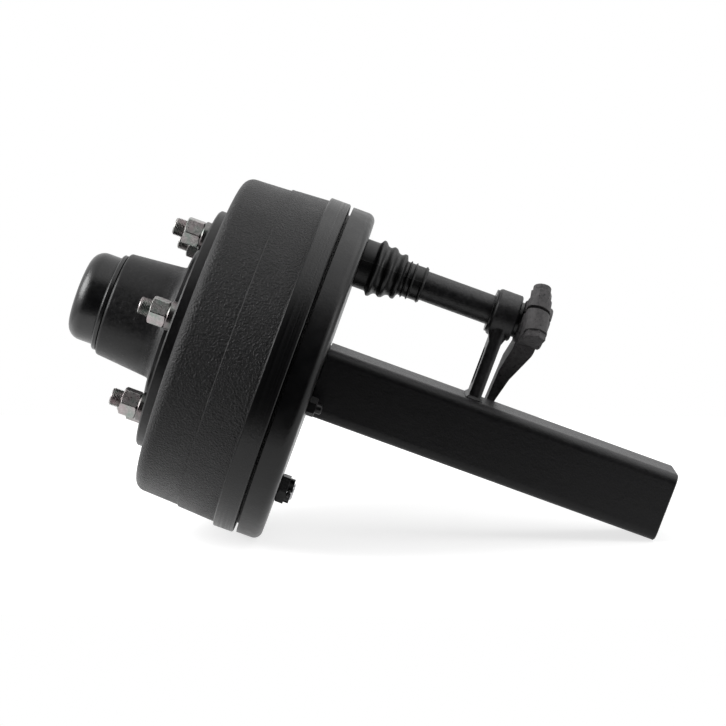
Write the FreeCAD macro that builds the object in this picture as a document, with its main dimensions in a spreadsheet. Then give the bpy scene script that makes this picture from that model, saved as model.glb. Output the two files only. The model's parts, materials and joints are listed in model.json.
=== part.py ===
import FreeCAD, Part
import math
import os
import Sketcher
from FreeCAD import Placement, Rotation, Vector

# Braked stub axle. Millimetres. The spin axis is Y, with the wheel on the +Y side, Z is up,
# and the origin is the centre of the face that the wheel seats on.

doc = FreeCAD.newDocument("StubAxle")
sheet = doc.addObject("Spreadsheet::Sheet", "Sizes")

# Every size that can be set by itself. Places along Y are measured from the wheel face,
# towards the wheel where the name ends in Out and towards the beam where it ends in In.
driving = {
    # square beam and its turned spindle
    "beamWidth": 70.0,
    "beamCornerRadius": 10.0,
    "beamEndIn": 515.0,
    "beamShoulderIn": 149.0,
    "collarRadius": 35.0,
    "spindleThreadRadius": 18.0,
    "spindleEndOut": 66.0,
    "cotterHoleRadius": 2.6,
    "cotterFromEnd": 6.0,
    "threadBevel": 1.2,
    "threadRunout": 3.0,
    "seatRunout": 4.0,
    "seatFillet": 3.0,
    "seatBevel": 1.5,
    "turnedBevel": 1.0,
    "collarSunk": 2.0,
    "sawnBevel": 1.0,
    # hub
    "spigotRadius": 80.0,
    "spigotHeight": 8.5,
    "flangeBeyondStuds": 21.5,
    "flangeThick": 12.5,
    "hubMouthOut": 70.0,
    "hubMouthRadius": 53.0,
    "hubRootRadius": 58.7,
    "hubInnerIn": 67.0,
    "hubInnerRadius": 62.0,
    "hubCavityRadius": 44.0,
    "capSeatRadius": 44.0,
    "sealSeatRadius": 52.0,
    "sealThick": 11.0,
    "sealWall": 3.0,
    "hubMouthRound": 3.0,
    "hubFootRound": 8.0,
    "hubBackRound": 4.0,
    "pilotStep": 2.0,
    "cupShoulder": 6.0,
    "castBevel": 1.5,
    # taper roller bearings, outer and inner
    "outerBoreRadius": 20.0,
    "outerCupRadius": 40.0,
    "outerCupWidth": 19.0,
    "outerConeWidth": 23.0,
    "outerBearingWidth": 24.75,
    "outerBearingOut": 38.0,
    "outerRaceRadius": 33.6,
    "outerRollerCount": 18.0,
    "innerBoreRadius": 27.5,
    "innerCupRadius": 50.0,
    "innerCupWidth": 21.0,
    "innerConeWidth": 25.0,
    "innerBearingWidth": 26.75,
    "innerBearingIn": 55.75,
    "innerRaceRadius": 43.0,
    "innerRollerCount": 20.0,
    "cupSlope": 14.0,
    "rollerMeanRadius": 4.1,
    "cageThick": 1.2,
    "raceMiddleIn": 1.3,
    "rollerLengthShare": 0.6,
    "rollerEndGap": 0.3,
    "coneRibRise": 0.5,
    "coneRibGap": 0.6,
    "smallRibRise": 1.0,
    "cageLiftShare": 0.45,
    "windowSideGap": 0.35,
    "cageBeyondRoller": 1.6,
    # wheel fixings
    "studsOverSpigot": 22.5,
    "studCount": 6.0,
    "studFirstAngle": 17.7,
    "studRadius": 8.9,
    "studReach": 35.0,
    "studHeadRadius": 13.0,
    "studHeadThick": 7.0,
    "nutAcross": 25.0,
    "nutHeight": 17.5,
    "nutFaceShare": 0.97,
    "nutFaceSlope": 30.0,
    "washerRadius": 14.6,
    "washerThick": 6.5,
    # hub cap
    "capRadius": 45.5,
    "capTopOut": 105.5,
    "capCornerRadius": 14.0,
    "capBeadRadius": 49.8,
    "capBeadWidth": 5.5,
    "capSkirtLength": 13.0,
    "capWall": 2.0,
    "capCrownRadius": 18.0,
    "capCrownIn": 13.0,
    "capCrownDrop": 3.2,
    "capBeadBevel": 1.2,
    # spindle nut
    "spindleNutAcross": 55.0,
    "spindleNutHeight": 21.0,
    "spindleSlotWidth": 7.0,
    "spindleSlotDepth": 8.0,
    "castleSlots": 6.0,
    "crownShare": 0.94,
    "cotterLegLength": 8.5,
    "spindleWasherRadius": 29.0,
    "spindleWasherThick": 4.0,
    # drum
    "drumBoreRadius": 150.0,
    "drumBackWall": 14.0,
    "drumFaceWall": 14.3,
    "drumStepWall": 17.8,
    "drumStepIn": 59.5,
    "drumBodyWall": 20.0,
    "drumCornerRadius": 11.0,
    "rimWall": 23.4,
    "rimStartIn": 98.8,
    "rimEndIn": 119.8,
    "drumLipWall": 13.0,
    "drumEndIn": 124.0,
    "drumInnerRound": 8.0,
    "drumStepRise": 1.3,
    # dust cover
    "coverOverBore": 22.0,
    "coverFrontIn": 123.3,
    "coverBackIn": 147.5,
    "coverCornerRadius": 8.5,
    "coverSheet": 3.0,
    "beamGap": 0.5,
    # brake flange
    "brakeFlangeRadius": 66.0,
    "brakeFlangeThick": 12.0,
    "camInset": 27.0,
    "anchorInset": 32.0,
    "camBossRadius": 22.0,
    "camArmMargin": 4.0,
    "bushWall": 3.0,
    "camBossReach": 13.0,
    "anchorBossRadius": 23.0,
    "coverBoltRadius": 5.0,
    "coverBoltAside": 50.0,
    "coverBoltBelow": 21.8,
    "coverBoltReach": 14.5,
    "coverBoltHead": 6.4,
    "coverNutAcross": 17.0,
    "coverNutHeight": 8.4,
    "coverNutTurn": 30.0,
    # shoes and linings
    "liningWidth": 60.0,
    "liningOutboardIn": 48.0,
    "liningThick": 8.0,
    "liningClearance": 1.25,
    "liningSpan": 98.0,
    "shoeSpan": 106.0,
    "shoeTableThick": 6.0,
    "webThick": 7.0,
    "webHeight": 30.75,
    "webSpacing": 24.0,
    "eyeGap": 0.6,
    "eyeRadius": 20.0,
    "padHeight": 32.0,
    "padThick": 8.0,
    "shoeEndIn": 2.0,
    "webSink": 1.0,
    "toeShoulder": 30.0,
    "toeShoulderRise": 4.0,
    "toePostMargin": 2.0,
    "toePostDrop": 9.0,
    "toeTipInset": 18.0,
    "toeTipRise": 4.0,
    "springPostAside": 50.0,
    "springUnderCam": 33.0,
    "springPostRadius": 4.0,
    "springRadius": 7.5,
    "springWire": 3.0,
    "springTurns": 12.0,
    "springGroove": 1.35,
    # anchor pin
    "anchorPinRadius": 11.0,
    "anchorHeadRadius": 16.0,
    "anchorHeadThick": 4.0,
    "anchorThreadRadius": 8.9,
    "anchorReach": 16.0,
    "anchorNutAcross": 27.0,
    "anchorNutHeight": 14.0,
    "anchorSlotDepth": 5.0,
    "anchorCotterRadius": 1.6,
    "cotterSlotGap": 0.8,
    # camshaft
    "camshaftRadius": 15.0,
    "camBaseRadius": 10.0,
    "camRestLift": 12.0,
    "camNoseRadius": 3.0,
    "camNeckRadius": 12.5,
    "camThrustRadius": 18.5,
    "camThrustWidth": 6.0,
    "camEndIn": 343.8,
    "splineRelief": 0.4,
    "splineBevel": 1.5,
    "splineGrooveLength": 6.0,
    "splineCount": 24.0,
    "splineDepth": 1.2,
    # boot
    "bootLength": 67.0,
    "bootNeckRadius": 25.3,
    # support bracket
    "bracketOutboardIn": 287.7,
    "bracketWidth": 24.6,
    "bracketRadius": 23.7,
    "bracketRound": 3.5,
    "bracketBevel": 1.2,
    "supportBushRadius": 18.0,
    "supportFlangeRadius": 21.5,
    "supportFlangeThick": 1.8,
    "supportBushProud": 3.5,
    "bracketLegThick": 12.6,
    "bracketLegInset": 3.5,
    "legFrontRound": 4.536,
    "bracketFootSpread": 4.5,
    "bracketNeckWidth": 20.0,
    "bracketNeckDepth": 32.0,
    "bracketNeckTop": 29.0,
    "bracketNeckBottom": 36.0,
    "bracketNeckRound": 12.0,
    "panelWidth": 21.0,
    "panelDepth": 3.0,
    "panelRound": 8.0,
    "panelFoot": 11.0,
    "panelTop": 38.0,
    "weldSize": 3.0,
    "weldSlope": 42.0,
    # brake lever
    "leverHubRadius": 21.8,
    "leverHubWidth": 28.2,
    "leverHubBevel": 1.5,
    "leverEarAngle": 30.0,
    "leverBeamPass": 15.806823689,
    "leverLength": 150.0,
    "leverRootHalf": 14.388,
    "leverRootThick": 21.0,
    "leverWaistThick": 13.2,
    "leverTipThick": 8.0,
    "leverTipWall": 7.5,
    "leverCrank": 4.2,
    "leverBendFrom": 25.0,
    "leverCrankEnd": 56.0,
    "leverWaistDown": 63.0,
    "leverTaperEnd": 94.0,
    "leverBendRadius": 30.0,
    "earReach": 32.0,
    "earRadius": 11.5,
    "earTop": 12.0,
    "earBottom": 23.0,
    "clampSlit": 3.0,
    "pinchRadius": 6.0,
    "pinchAcross": 19.0,
    "pinchNutHeight": 9.5,
    "pinchCollarRadius": 8.9,
    "pinchCollarHeight": 6.5,
    "pinchHeadHeight": 7.5,
    "pinchSkew": 8.0,
    "pinchOutboard": 1.3,
    "pinchBoltTurn": 12.0,
    "pinchNutTurn": 40.0,
    "clevisHoleRadius": 6.5,
    "clevisHoleStep": 25.0,
    # clearances
    "staticFit": 0.05,
    "runningFit": 0.08,
    "faceGap": 0.3,
    "softGap": 0.3,
    "rollingGap": 0.2,
    "sidePlay": 0.4,
}


class Size:
    """A number together with the formula that gave it, so that one line of arithmetic sets
    both the starting value of a feature and the expression that ties it to the sheet."""

    def __init__(self, value, formula):
        self.value = value
        self.formula = formula

    def joined(self, other, sign, value):
        return Size(value, "(%s %s %s)" % (self.formula, sign, asSize(other).formula))

    def __add__(self, other):
        return self.joined(other, "+", self.value + asSize(other).value)

    def __radd__(self, other):
        return asSize(other) + self

    def __sub__(self, other):
        return self.joined(other, "-", self.value - asSize(other).value)

    def __rsub__(self, other):
        return asSize(other) - self

    def __mul__(self, other):
        return self.joined(other, "*", self.value * asSize(other).value)

    def __rmul__(self, other):
        return asSize(other) * self

    def __truediv__(self, other):
        return self.joined(other, "/", self.value / asSize(other).value)

    def __rtruediv__(self, other):
        return asSize(other) / self

    def __neg__(self):
        return asSize(-1.0) * self

    def root(self):
        return Size(math.sqrt(self.value), "sqrt(%s)" % self.formula)

    def sine(self):
        return Size(math.sin(math.radians(self.value)), "sin(%s)" % self.formula)

    def cosine(self):
        return Size(math.cos(math.radians(self.value)), "cos(%s)" % self.formula)

    def tangent(self):
        return Size(math.tan(math.radians(self.value)), "tan(%s)" % self.formula)


def asSize(number):
    return number if isinstance(number, Size) else Size(float(number), "%.9g" % number)


class SizeBook:
    """Reads a named size of the sheet as an attribute, such as s.beamWidth."""

    def __getattr__(self, name):
        return Size(driving[name], "Sizes.%s" % name)


s = SizeBook()
for row, (alias, number) in enumerate(driving.items(), start=1):
    sheet.set("A%d" % row, str(number))
    sheet.setAlias("A%d" % row, alias)
doc.recompute()

nodes = {}


def bind(thing, path, size):
    """Ties one property of an object to its formula."""
    thing.setExpression(path, asSize(size).formula)


def place(thing, x=0, y=0, z=0, turn=None):
    """Places an object. turn is an angle about Y."""
    thing.Placement = Placement(Vector(*(asSize(v).value for v in (x, y, z))), Rotation())
    for axis, size in (("x", x), ("y", y), ("z", z)):
        bind(thing, "Placement.Base.%s" % axis, size)
    if turn is not None:
        thing.Placement.Rotation = Rotation(Vector(0, 1, 0), asSize(turn).value)
        bind(thing, "Placement.Rotation.Axis.y", 1)
        bind(thing, "Placement.Rotation.Angle", turn)


def newBody(name):
    return doc.addObject("PartDesign::Body", name)


def originPart(body, role):
    return [item for item in body.Origin.OriginFeatures if item.Role == role][0]


def newSketch(body, name, plane, lift=0):
    """A sketch on an origin plane of its own body, lifted along that plane's normal."""
    sketch = body.newObject("Sketcher::SketchObject", name)
    sketch.AttachmentSupport = (originPart(body, plane), [""])
    sketch.MapMode = "FlatFace"
    sketch.AttachmentOffset = Placement(Vector(0, 0, asSize(lift).value), Rotation())
    bind(sketch, "AttachmentOffset.Base.z", lift)
    return sketch


def cornerArc(before, corner, after, radius):
    """The two ends of the arc that rounds a corner, its centre and whether it turns left."""
    inward = (Vector(*before) - Vector(*corner)).normalize()
    onward = (Vector(*after) - Vector(*corner)).normalize()
    half = inward.getAngle(onward) / 2
    reach = radius / math.tan(half)
    middle = (inward + onward).normalize() * (radius / math.sin(half))
    start = Vector(*corner) + inward * reach
    finish = Vector(*corner) + onward * reach
    turnsLeft = inward.cross(onward).z < 0
    return start, finish, Vector(*corner) + middle, turnsLeft


def outline(sketch, corners):
    """A closed outline through (u, v) corners. A third value rounds that corner. Each
    corner is held by its two distances from the origin, and each round by its radius."""
    points = [(asSize(c[0]), asSize(c[1])) for c in corners]
    rounds = [asSize(c[2]) if len(c) > 2 else None for c in corners]
    flat = [(u.value, v.value, 0) for u, v in points]
    total = len(corners)
    arcs = {}
    for i in range(total):
        if rounds[i] is not None:
            arcs[i] = cornerArc(flat[i - 1], flat[i], flat[(i + 1) % total], rounds[i].value)
    rules, ties = [], []

    def hold(item, spot, index):
        for kind, size, axis in (("DistanceX", points[index][0], -2), ("DistanceY", points[index][1], -1)):
            if size.formula == "0":
                rules.append(Sketcher.Constraint("PointOnObject", item, spot, axis))
            else:
                rules.append(Sketcher.Constraint(kind, -1, 1, item, spot, size.value))
                ties.append((len(rules) - 1, size))

    first = sketch.GeometryCount
    for i in range(total):
        after = (i + 1) % total
        begin = arcs[i][1] if i in arcs else Vector(*flat[i])
        end = arcs[after][0] if after in arcs else Vector(*flat[after])
        sketch.addGeometry(Part.LineSegment(begin, end), False)
    for i in range(total):
        line, previous = first + i, first + (i - 1) % total
        if i not in arcs:
            rules.append(Sketcher.Constraint("Coincident", previous, 2, line, 1))
            hold(line, 1, i)
            continue
        start, finish, centre, turnsLeft = arcs[i]
        circle = Part.Circle(centre, Vector(0, 0, 1), rounds[i].value)
        ends = (start, finish) if turnsLeft else (finish, start)
        angles = [math.atan2(p.y - centre.y, p.x - centre.x) for p in ends]
        arc = sketch.addGeometry(Part.ArcOfCircle(circle, angles[0], angles[1]), False)
        near, far = (1, 2) if turnsLeft else (2, 1)
        rules.append(Sketcher.Constraint("Tangent", previous, 2, arc, near))
        rules.append(Sketcher.Constraint("Tangent", arc, far, line, 1))
        rules.append(Sketcher.Constraint("Radius", arc, rounds[i].value))
        ties.append((len(rules) - 1, rounds[i]))
        vertex = sketch.addGeometry(Part.Point(Vector(*flat[i])), True)
        hold(vertex, 1, i)
        rules.append(Sketcher.Constraint("PointOnObject", vertex, 1, previous))
        rules.append(Sketcher.Constraint("PointOnObject", vertex, 1, line))
    base = sketch.ConstraintCount
    sketch.addConstraint(rules)
    for index, size in ties:
        bind(sketch, "Constraints[%d]" % (base + index), size)


def disc(sketch, u, v, radius):
    """A circle in a sketch."""
    u, v, radius = asSize(u), asSize(v), asSize(radius)
    circle = Part.Circle(Vector(u.value, v.value, 0), Vector(0, 0, 1), radius.value)
    item = sketch.addGeometry(circle, False)
    for kind, size, axis in (("DistanceX", u, -2), ("DistanceY", v, -1)):
        if size.formula == "0":
            sketch.addConstraint(Sketcher.Constraint("PointOnObject", item, 3, axis))
        else:
            index = sketch.addConstraint(Sketcher.Constraint(kind, -1, 1, item, 3, size.value))
            bind(sketch, "Constraints[%d]" % index, size)
    index = sketch.addConstraint(Sketcher.Constraint("Radius", item, radius.value))
    bind(sketch, "Constraints[%d]" % index, radius)


def revolve(body, name, corners, angle=360):
    """Turns an outline of (radius, y) corners about the body's Y axis."""
    sketch = newSketch(body, name + "_profile", "XY_Plane")
    outline(sketch, corners)
    turned = body.newObject("PartDesign::Revolution", name)
    turned.Profile = sketch
    turned.ReferenceAxis = (sketch, ["V_Axis"])
    turned.Midplane = True
    turned.Angle = asSize(angle).value
    bind(turned, "Angle", angle)
    return turned


def turnedPiece(name, corners, x=0, y=0, z=0):
    """A piece that is turned on a lathe, or pressed or moulded round."""
    body = newBody(name)
    revolve(body, name + "_turn", corners)
    place(body, x, y, z)
    nodes[name] = body
    return body


def pad(body, name, sketch, length, symmetric=False, reverse=False):
    feature = body.newObject("PartDesign::Pad", name)
    feature.Profile = sketch
    feature.Length = asSize(length).value
    bind(feature, "Length", length)
    feature.SideType = "Symmetric" if symmetric else "One side"
    feature.Reversed = reverse
    return feature


def pocket(body, name, sketch, length, symmetric=False, reverse=False):
    """A cut. It stops the build if it takes nothing away."""
    doc.recompute()
    before = body.Shape.Volume
    feature = body.newObject("PartDesign::Pocket", name)
    feature.Profile = sketch
    feature.Length = asSize(length).value
    bind(feature, "Length", length)
    feature.SideType = "Symmetric" if symmetric else "One side"
    feature.Reversed = reverse
    doc.recompute()
    if not body.Shape.Volume < before - 1e-3:
        raise RuntimeError("%s cuts nothing" % name)
    return feature


def bevel(body, name, size, wanted, kind="PartDesign::Chamfer"):
    """Chamfers or rounds the edges that wanted(edge) picks."""
    doc.recompute()
    tip = body.Tip
    names = ["Edge%d" % (i + 1) for i, edge in enumerate(tip.Shape.Edges) if wanted(edge)]
    if not names:
        raise RuntimeError("%s finds no edge" % name)
    feature = body.newObject(kind, name)
    feature.Base = (tip, names)
    path = "Size" if kind.endswith("Chamfer") else "Radius"
    setattr(feature, path, asSize(size).value)
    bind(feature, path, size)
    doc.recompute()
    return feature


def finished(name, shape, x=0, y=0, z=0, turn=0):
    """A piece whose shape comes from this file's own working, such as a set of like parts."""
    piece = doc.addObject("Part::Feature", name)
    piece.Shape = Part.makeCompound(shape.Solids)
    place(piece, x, y, z, turn)
    nodes[name] = piece
    return piece


def hexagon(across, turn=0.0):
    """A hexagon about the Z axis of its own frame, as a face."""
    reach = across / math.sqrt(3)
    angles = [math.radians(turn + 60 * i) for i in range(7)]
    corners = [Vector(reach * math.cos(a), reach * math.sin(a), 0) for a in angles]
    return Part.Face(Part.makePolygon(corners))


def hexNut(across, height, bore, turn=0.0, top=True, bottom=True):
    """A hexagon nut along +Z with its corners taken off on either face."""
    solid = hexagon(across, turn).extrude(Vector(0, 0, height))
    corner = across / math.sqrt(3)
    flat = across / 2 * n["nutFaceShare"]
    drop = (corner - flat) * math.tan(math.radians(n["nutFaceSlope"]))
    below = [(flat, 0), (corner, drop)] if bottom else [(corner, 0)]
    above = [(corner, height - drop), (flat, height)] if top else [(corner, height)]
    corners = [(0, 0)] + below + above + [(0, height), (0, 0)]
    profile = [Vector(radius, 0, up) for radius, up in corners]
    rounded = Part.Face(Part.makePolygon(profile)).revolve(Vector(), Vector(0, 0, 1), 360)
    solid = solid.common(rounded)
    return solid.cut(Part.makeCylinder(bore, height, Vector())) if bore else solid


def crownRadius(across):
    """The round crown of a castle nut is a little smaller than its hexagon."""
    return across / 2 * n["crownShare"]


def castleNut(across, height, bore, slotWidth, slotDepth):
    """A slotted nut along +Z: a hexagon below, a round crown above, cut through by slots."""
    slots = int(n["castleSlots"])
    crown = Part.makeCylinder(crownRadius(across), slotDepth, Vector(0, 0, height - slotDepth))
    solid = hexNut(across, height - slotDepth, 0, top=False).fuse(crown)
    for i in range(slots // 2):
        cutter = Part.makeBox(2 * across, slotWidth, slotDepth + 1,
                              Vector(-across, -slotWidth / 2, height - slotDepth))
        cutter.rotate(Vector(), Vector(0, 0, 1), 360 / slots * i)
        solid = solid.cut(cutter)
    return solid.cut(Part.makeCylinder(bore, height, Vector()))


def boltShank(radius, length):
    """The shank of a bolt or stud along +Z, with its end taken off."""
    end = n["threadBevel"]
    shank = Part.makeCylinder(radius, length - end)
    return shank.fuse(Part.makeCone(radius, radius - end, end, Vector(0, 0, length - end)))


def alongY(shape, y, x=0.0, z=0.0, outboard=True):
    """Stands a shape that was made along +Z on the Y axis, pointing at the wheel or away."""
    copy = shape.copy()
    copy.rotate(Vector(), Vector(1, 0, 0), -90 if outboard else 90)
    copy.translate(Vector(x, y, z))
    return copy


def circleSpots(radius, count, firstAngle):
    """Places round the Y axis. Angles run from +Z towards -X."""
    angles = [math.radians(firstAngle + 360 / count * i) for i in range(count)]
    return [(-radius * math.sin(a), radius * math.cos(a)) for a in angles]


# values worked out from the driving sizes
n = {name: float(number) for name, number in driving.items()}
coverInner = s.coverBackIn - s.coverSheet
flangeFrontIn = coverInner - s.brakeFlangeThick
drumFaceIn = s.flangeThick
drumWallIn = s.flangeThick + s.drumBackWall
studCircleRadius = s.spigotRadius + s.studsOverSpigot
flangeRadius = studCircleRadius + s.flangeBeyondStuds
liningRadius = s.drumBoreRadius - s.liningClearance
tableRadius = liningRadius - s.liningThick
tableInner = tableRadius - s.shoeTableThick
webInnerRadius = tableInner - s.webHeight
camHeight = s.drumBoreRadius - s.camInset
anchorDepth = s.drumBoreRadius - s.anchorInset
springPostHeight = camHeight - s.springUnderCam
coverRadius = s.drumBoreRadius + s.coverOverBore
drumStepRadius = s.drumBoreRadius + s.drumStepWall
rimRadius = s.drumBoreRadius + s.rimWall
drumLipRadius = s.drumBoreRadius + s.drumLipWall
liningMiddleIn = s.liningOutboardIn + s.liningWidth / 2
bracketInboardIn = s.bracketOutboardIn + s.bracketWidth
supportEndIn = bracketInboardIn + s.supportBushProud
leverOutboardIn = supportEndIn + s.faceGap
leverMiddleIn = leverOutboardIn + s.leverHubWidth / 2


# The beam is one bar of square steel. Its end is turned down to carry the hub.
axle = newBody("axle_beam")
innerSeat = s.innerBoreRadius - s.staticFit
outerSeat = s.outerBoreRadius - s.staticFit
innerSeatStart = s.innerConeWidth - s.innerBearingIn + s.seatBevel
revolve(axle, "spindle", [
    (0, s.spindleEndOut),
    (s.spindleThreadRadius - s.threadBevel, s.spindleEndOut),
    (s.spindleThreadRadius, s.spindleEndOut - s.threadBevel),
    (s.spindleThreadRadius, s.outerBearingOut - s.threadRunout),
    (outerSeat, s.outerBearingOut - s.threadRunout - s.turnedBevel),
    (outerSeat, s.outerBearingOut - s.outerConeWidth - s.seatRunout, s.seatFillet),
    (innerSeat - s.seatBevel, innerSeatStart + s.seatBevel, s.seatFillet),
    (innerSeat, innerSeatStart),
    (innerSeat, -s.innerBearingIn),
    (s.collarRadius - s.turnedBevel, -s.innerBearingIn),
    (s.collarRadius, -s.innerBearingIn - s.turnedBevel),
    (s.collarRadius, -s.beamShoulderIn - s.collarSunk),
    (0, -s.beamShoulderIn - s.collarSunk),
])
beamHalf = s.beamWidth / 2


def squareOf(half):
    """The corners of a square with the beam's own rounds."""
    return [(u * half, v * half, s.beamCornerRadius) for u, v in ((-1, -1), (1, -1), (1, 1), (-1, 1))]


bar = newSketch(axle, "bar_section", "XZ_Plane", s.beamShoulderIn)
outline(bar, squareOf(beamHalf))
pad(axle, "bar", bar, s.beamEndIn - s.beamShoulderIn)
crossHole = newSketch(axle, "cotter_hole", "YZ_Plane")
disc(crossHole, s.spindleEndOut - s.cotterFromEnd, 0, s.cotterHoleRadius)
pocket(axle, "cotter_drilling", crossHole, s.spindleThreadRadius * 3, symmetric=True)
bevel(axle, "sawn_edge", s.sawnBevel, lambda edge: edge.BoundBox.YMax < -n["beamEndIn"] + 0.01)
nodes["axle_beam"] = axle

# The brake flange is welded round the collar. It carries the camshaft above the axle and
# the anchor pin below it.
brakeFlange = newBody("brake_flange")
flangeWide = s.brakeFlangeRadius


def armOutline(height, endRadius, way):
    """The straight flanks that are tangent to the flange's disc and to the round at its end."""
    lean = (flangeWide - endRadius) / height
    flank = (1 - lean * lean).root()
    low, high = way * flangeWide * lean, way * (height + endRadius * lean)
    return [(flangeWide * flank, low), (endRadius * flank, high), (-endRadius * flank, high),
            (-flangeWide * flank, low)]


plate = newSketch(brakeFlange, "plate_disc", "XZ_Plane", flangeFrontIn)
disc(plate, 0, 0, flangeWide)
pad(brakeFlange, "plate", plate, s.brakeFlangeThick)
for label, height, radius, way in (("cam", camHeight, s.camBossRadius + s.camArmMargin, 1),
                                   ("anchor", anchorDepth, s.anchorBossRadius, -1)):
    arm = newSketch(brakeFlange, label + "_arm_outline", "XZ_Plane", flangeFrontIn)
    outline(arm, armOutline(height, radius, way))
    pad(brakeFlange, label + "_arm", arm, s.brakeFlangeThick)
    end = newSketch(brakeFlange, label + "_arm_round", "XZ_Plane", flangeFrontIn)
    disc(end, 0, way * height, radius)
    pad(brakeFlange, label + "_arm_end", end, s.brakeFlangeThick)
boss = newSketch(brakeFlange, "cam_boss_round", "XZ_Plane", flangeFrontIn)
disc(boss, 0, camHeight, s.camBossRadius)
camBossEndIn = s.coverBackIn + s.camBossReach
pad(brakeFlange, "cam_boss", boss, camBossEndIn - flangeFrontIn)
camBushRadius = s.camshaftRadius + s.bushWall
for label, u, v, radius in (
        ("axle", 0, 0, s.collarRadius + s.staticFit),
        ("cam_bush", 0, camHeight, camBushRadius + s.staticFit),
        ("anchor", 0, -anchorDepth, s.anchorPinRadius + s.staticFit),
        ("near_bolt", -s.coverBoltAside, -s.coverBoltBelow, s.coverBoltRadius + s.staticFit),
        ("far_bolt", s.coverBoltAside, -s.coverBoltBelow, s.coverBoltRadius + s.staticFit)):
    hole = newSketch(brakeFlange, label + "_hole_round", "XZ_Plane", flangeFrontIn)
    disc(hole, u, v, radius)
    pocket(brakeFlange, label + "_hole", hole, (camBossEndIn - flangeFrontIn) * 3, symmetric=True)
nodes["brake_flange"] = brakeFlange

# The dust cover is one pressed dish that closes the drum from behind.
cover = newBody("dust_cover")
revolve(cover, "dish", [
    (beamHalf - s.coverSheet, -s.coverBackIn),
    (coverRadius, -s.coverBackIn, s.coverCornerRadius),
    (coverRadius, -s.coverFrontIn),
    (coverRadius - s.coverSheet, -s.coverFrontIn),
    (coverRadius - s.coverSheet, -coverInner, s.coverCornerRadius - s.coverSheet),
    (beamHalf - s.coverSheet, -coverInner),
])
beamHole = newSketch(cover, "beam_hole_square", "XZ_Plane", s.coverBackIn)
outline(beamHole, squareOf(beamHalf + s.beamGap))
pocket(cover, "beam_hole", beamHole, s.coverSheet * 4, symmetric=True)
for label, u, v, radius in (
        ("cam_boss", 0, camHeight, s.camBossRadius + s.staticFit),
        ("anchor", 0, -anchorDepth, s.anchorThreadRadius + s.staticFit),
        ("near_bolt", -s.coverBoltAside, -s.coverBoltBelow, s.coverBoltRadius + s.staticFit),
        ("far_bolt", s.coverBoltAside, -s.coverBoltBelow, s.coverBoltRadius + s.staticFit)):
    hole = newSketch(cover, "cover_" + label + "_round", "XZ_Plane", s.coverBackIn)
    disc(hole, u, v, radius)
    pocket(cover, "cover_" + label + "_hole", hole, s.coverSheet * 4, symmetric=True)
nodes["dust_cover"] = cover

# Two bolts hold the cover to the flange, heads inside the drum and nuts outside.
boltLength = n["brakeFlangeThick"] + n["coverSheet"] + n["coverBoltReach"]
coverBolt = alongY(hexNut(n["coverNutAcross"], n["coverBoltHead"], 0, bottom=False), 0)
coverBolt = coverBolt.fuse(alongY(boltShank(n["coverBoltRadius"], boltLength), 0, outboard=False))
coverNut = hexNut(n["coverNutAcross"], n["coverNutHeight"], n["coverBoltRadius"] + n["staticFit"],
                  n["coverNutTurn"])
coverNut = alongY(coverNut, 0, outboard=False)
coverBoltSpots = [(way * n["coverBoltAside"], -n["coverBoltBelow"]) for way in (-1, 1)]


def setOf(shape, places):
    """Separate copies of one small part, as one shape."""
    copies = []
    for x, z in places:
        copy = shape.copy()
        copy.translate(Vector(x, 0, z))
        copies.append(copy)
    return Part.makeCompound(copies)


finished("cover_bolts", setOf(coverBolt, coverBoltSpots), y=-flangeFrontIn)
finished("cover_nuts", setOf(coverNut, coverBoltSpots), y=-s.coverBackIn)

# The anchor pin passes through the eyes of both shoes and is drawn up by a castle nut.
eyeReach = s.webSpacing / 2 + s.webThick + s.eyeGap / 2 + s.sidePlay
eyeFrontIn = liningMiddleIn - eyeReach
eyeBackIn = liningMiddleIn + eyeReach
anchorCotterIn = s.coverBackIn + s.anchorNutHeight - s.anchorSlotDepth / 2
anchorPin = turnedPiece("anchor_pin", [
    (0, -(eyeFrontIn - s.anchorHeadThick)),
    (s.anchorHeadRadius - s.turnedBevel, -(eyeFrontIn - s.anchorHeadThick)),
    (s.anchorHeadRadius, -(eyeFrontIn - s.anchorHeadThick + s.turnedBevel)),
    (s.anchorHeadRadius, -eyeFrontIn),
    (s.anchorPinRadius, -eyeFrontIn),
    (s.anchorPinRadius, -coverInner),
    (s.anchorThreadRadius, -coverInner),
    (s.anchorThreadRadius, -(s.coverBackIn + s.anchorReach - s.threadBevel)),
    (s.anchorThreadRadius - s.threadBevel, -(s.coverBackIn + s.anchorReach)),
    (0, -(s.coverBackIn + s.anchorReach)),
], z=-anchorDepth)
anchorCross = newSketch(anchorPin, "anchor_cotter_hole", "YZ_Plane")
disc(anchorCross, -anchorCotterIn, 0, s.anchorCotterRadius + s.faceGap)
pocket(anchorPin, "anchor_cotter_drilling", anchorCross, s.anchorThreadRadius * 3, symmetric=True)
turnedPiece("anchor_spacer", [
    (s.anchorPinRadius + s.staticFit, -eyeBackIn),
    (s.anchorHeadRadius, -eyeBackIn),
    (s.anchorHeadRadius, -flangeFrontIn),
    (s.anchorPinRadius + s.staticFit, -flangeFrontIn),
], z=-anchorDepth)
anchorSlotWidth = 2 * (n["anchorCotterRadius"] + n["cotterSlotGap"])
anchorNut = castleNut(n["anchorNutAcross"], n["anchorNutHeight"], n["anchorThreadRadius"] + n["staticFit"],
                      anchorSlotWidth, n["anchorSlotDepth"])
finished("anchor_nut", alongY(anchorNut, 0, outboard=False), y=-s.coverBackIn, z=-anchorDepth)


# A split pin's proportions, each to the radius of its shank, and how far its legs open
pinShares = {"eye": 2.3, "eyeDrop": 0.7, "eyeThick": 1.4, "eyeHole": 1.1, "neck": 1.7,
             "legRoot": 0.4, "leg": 0.62}
legWay = (0.62, 0.78)


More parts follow.
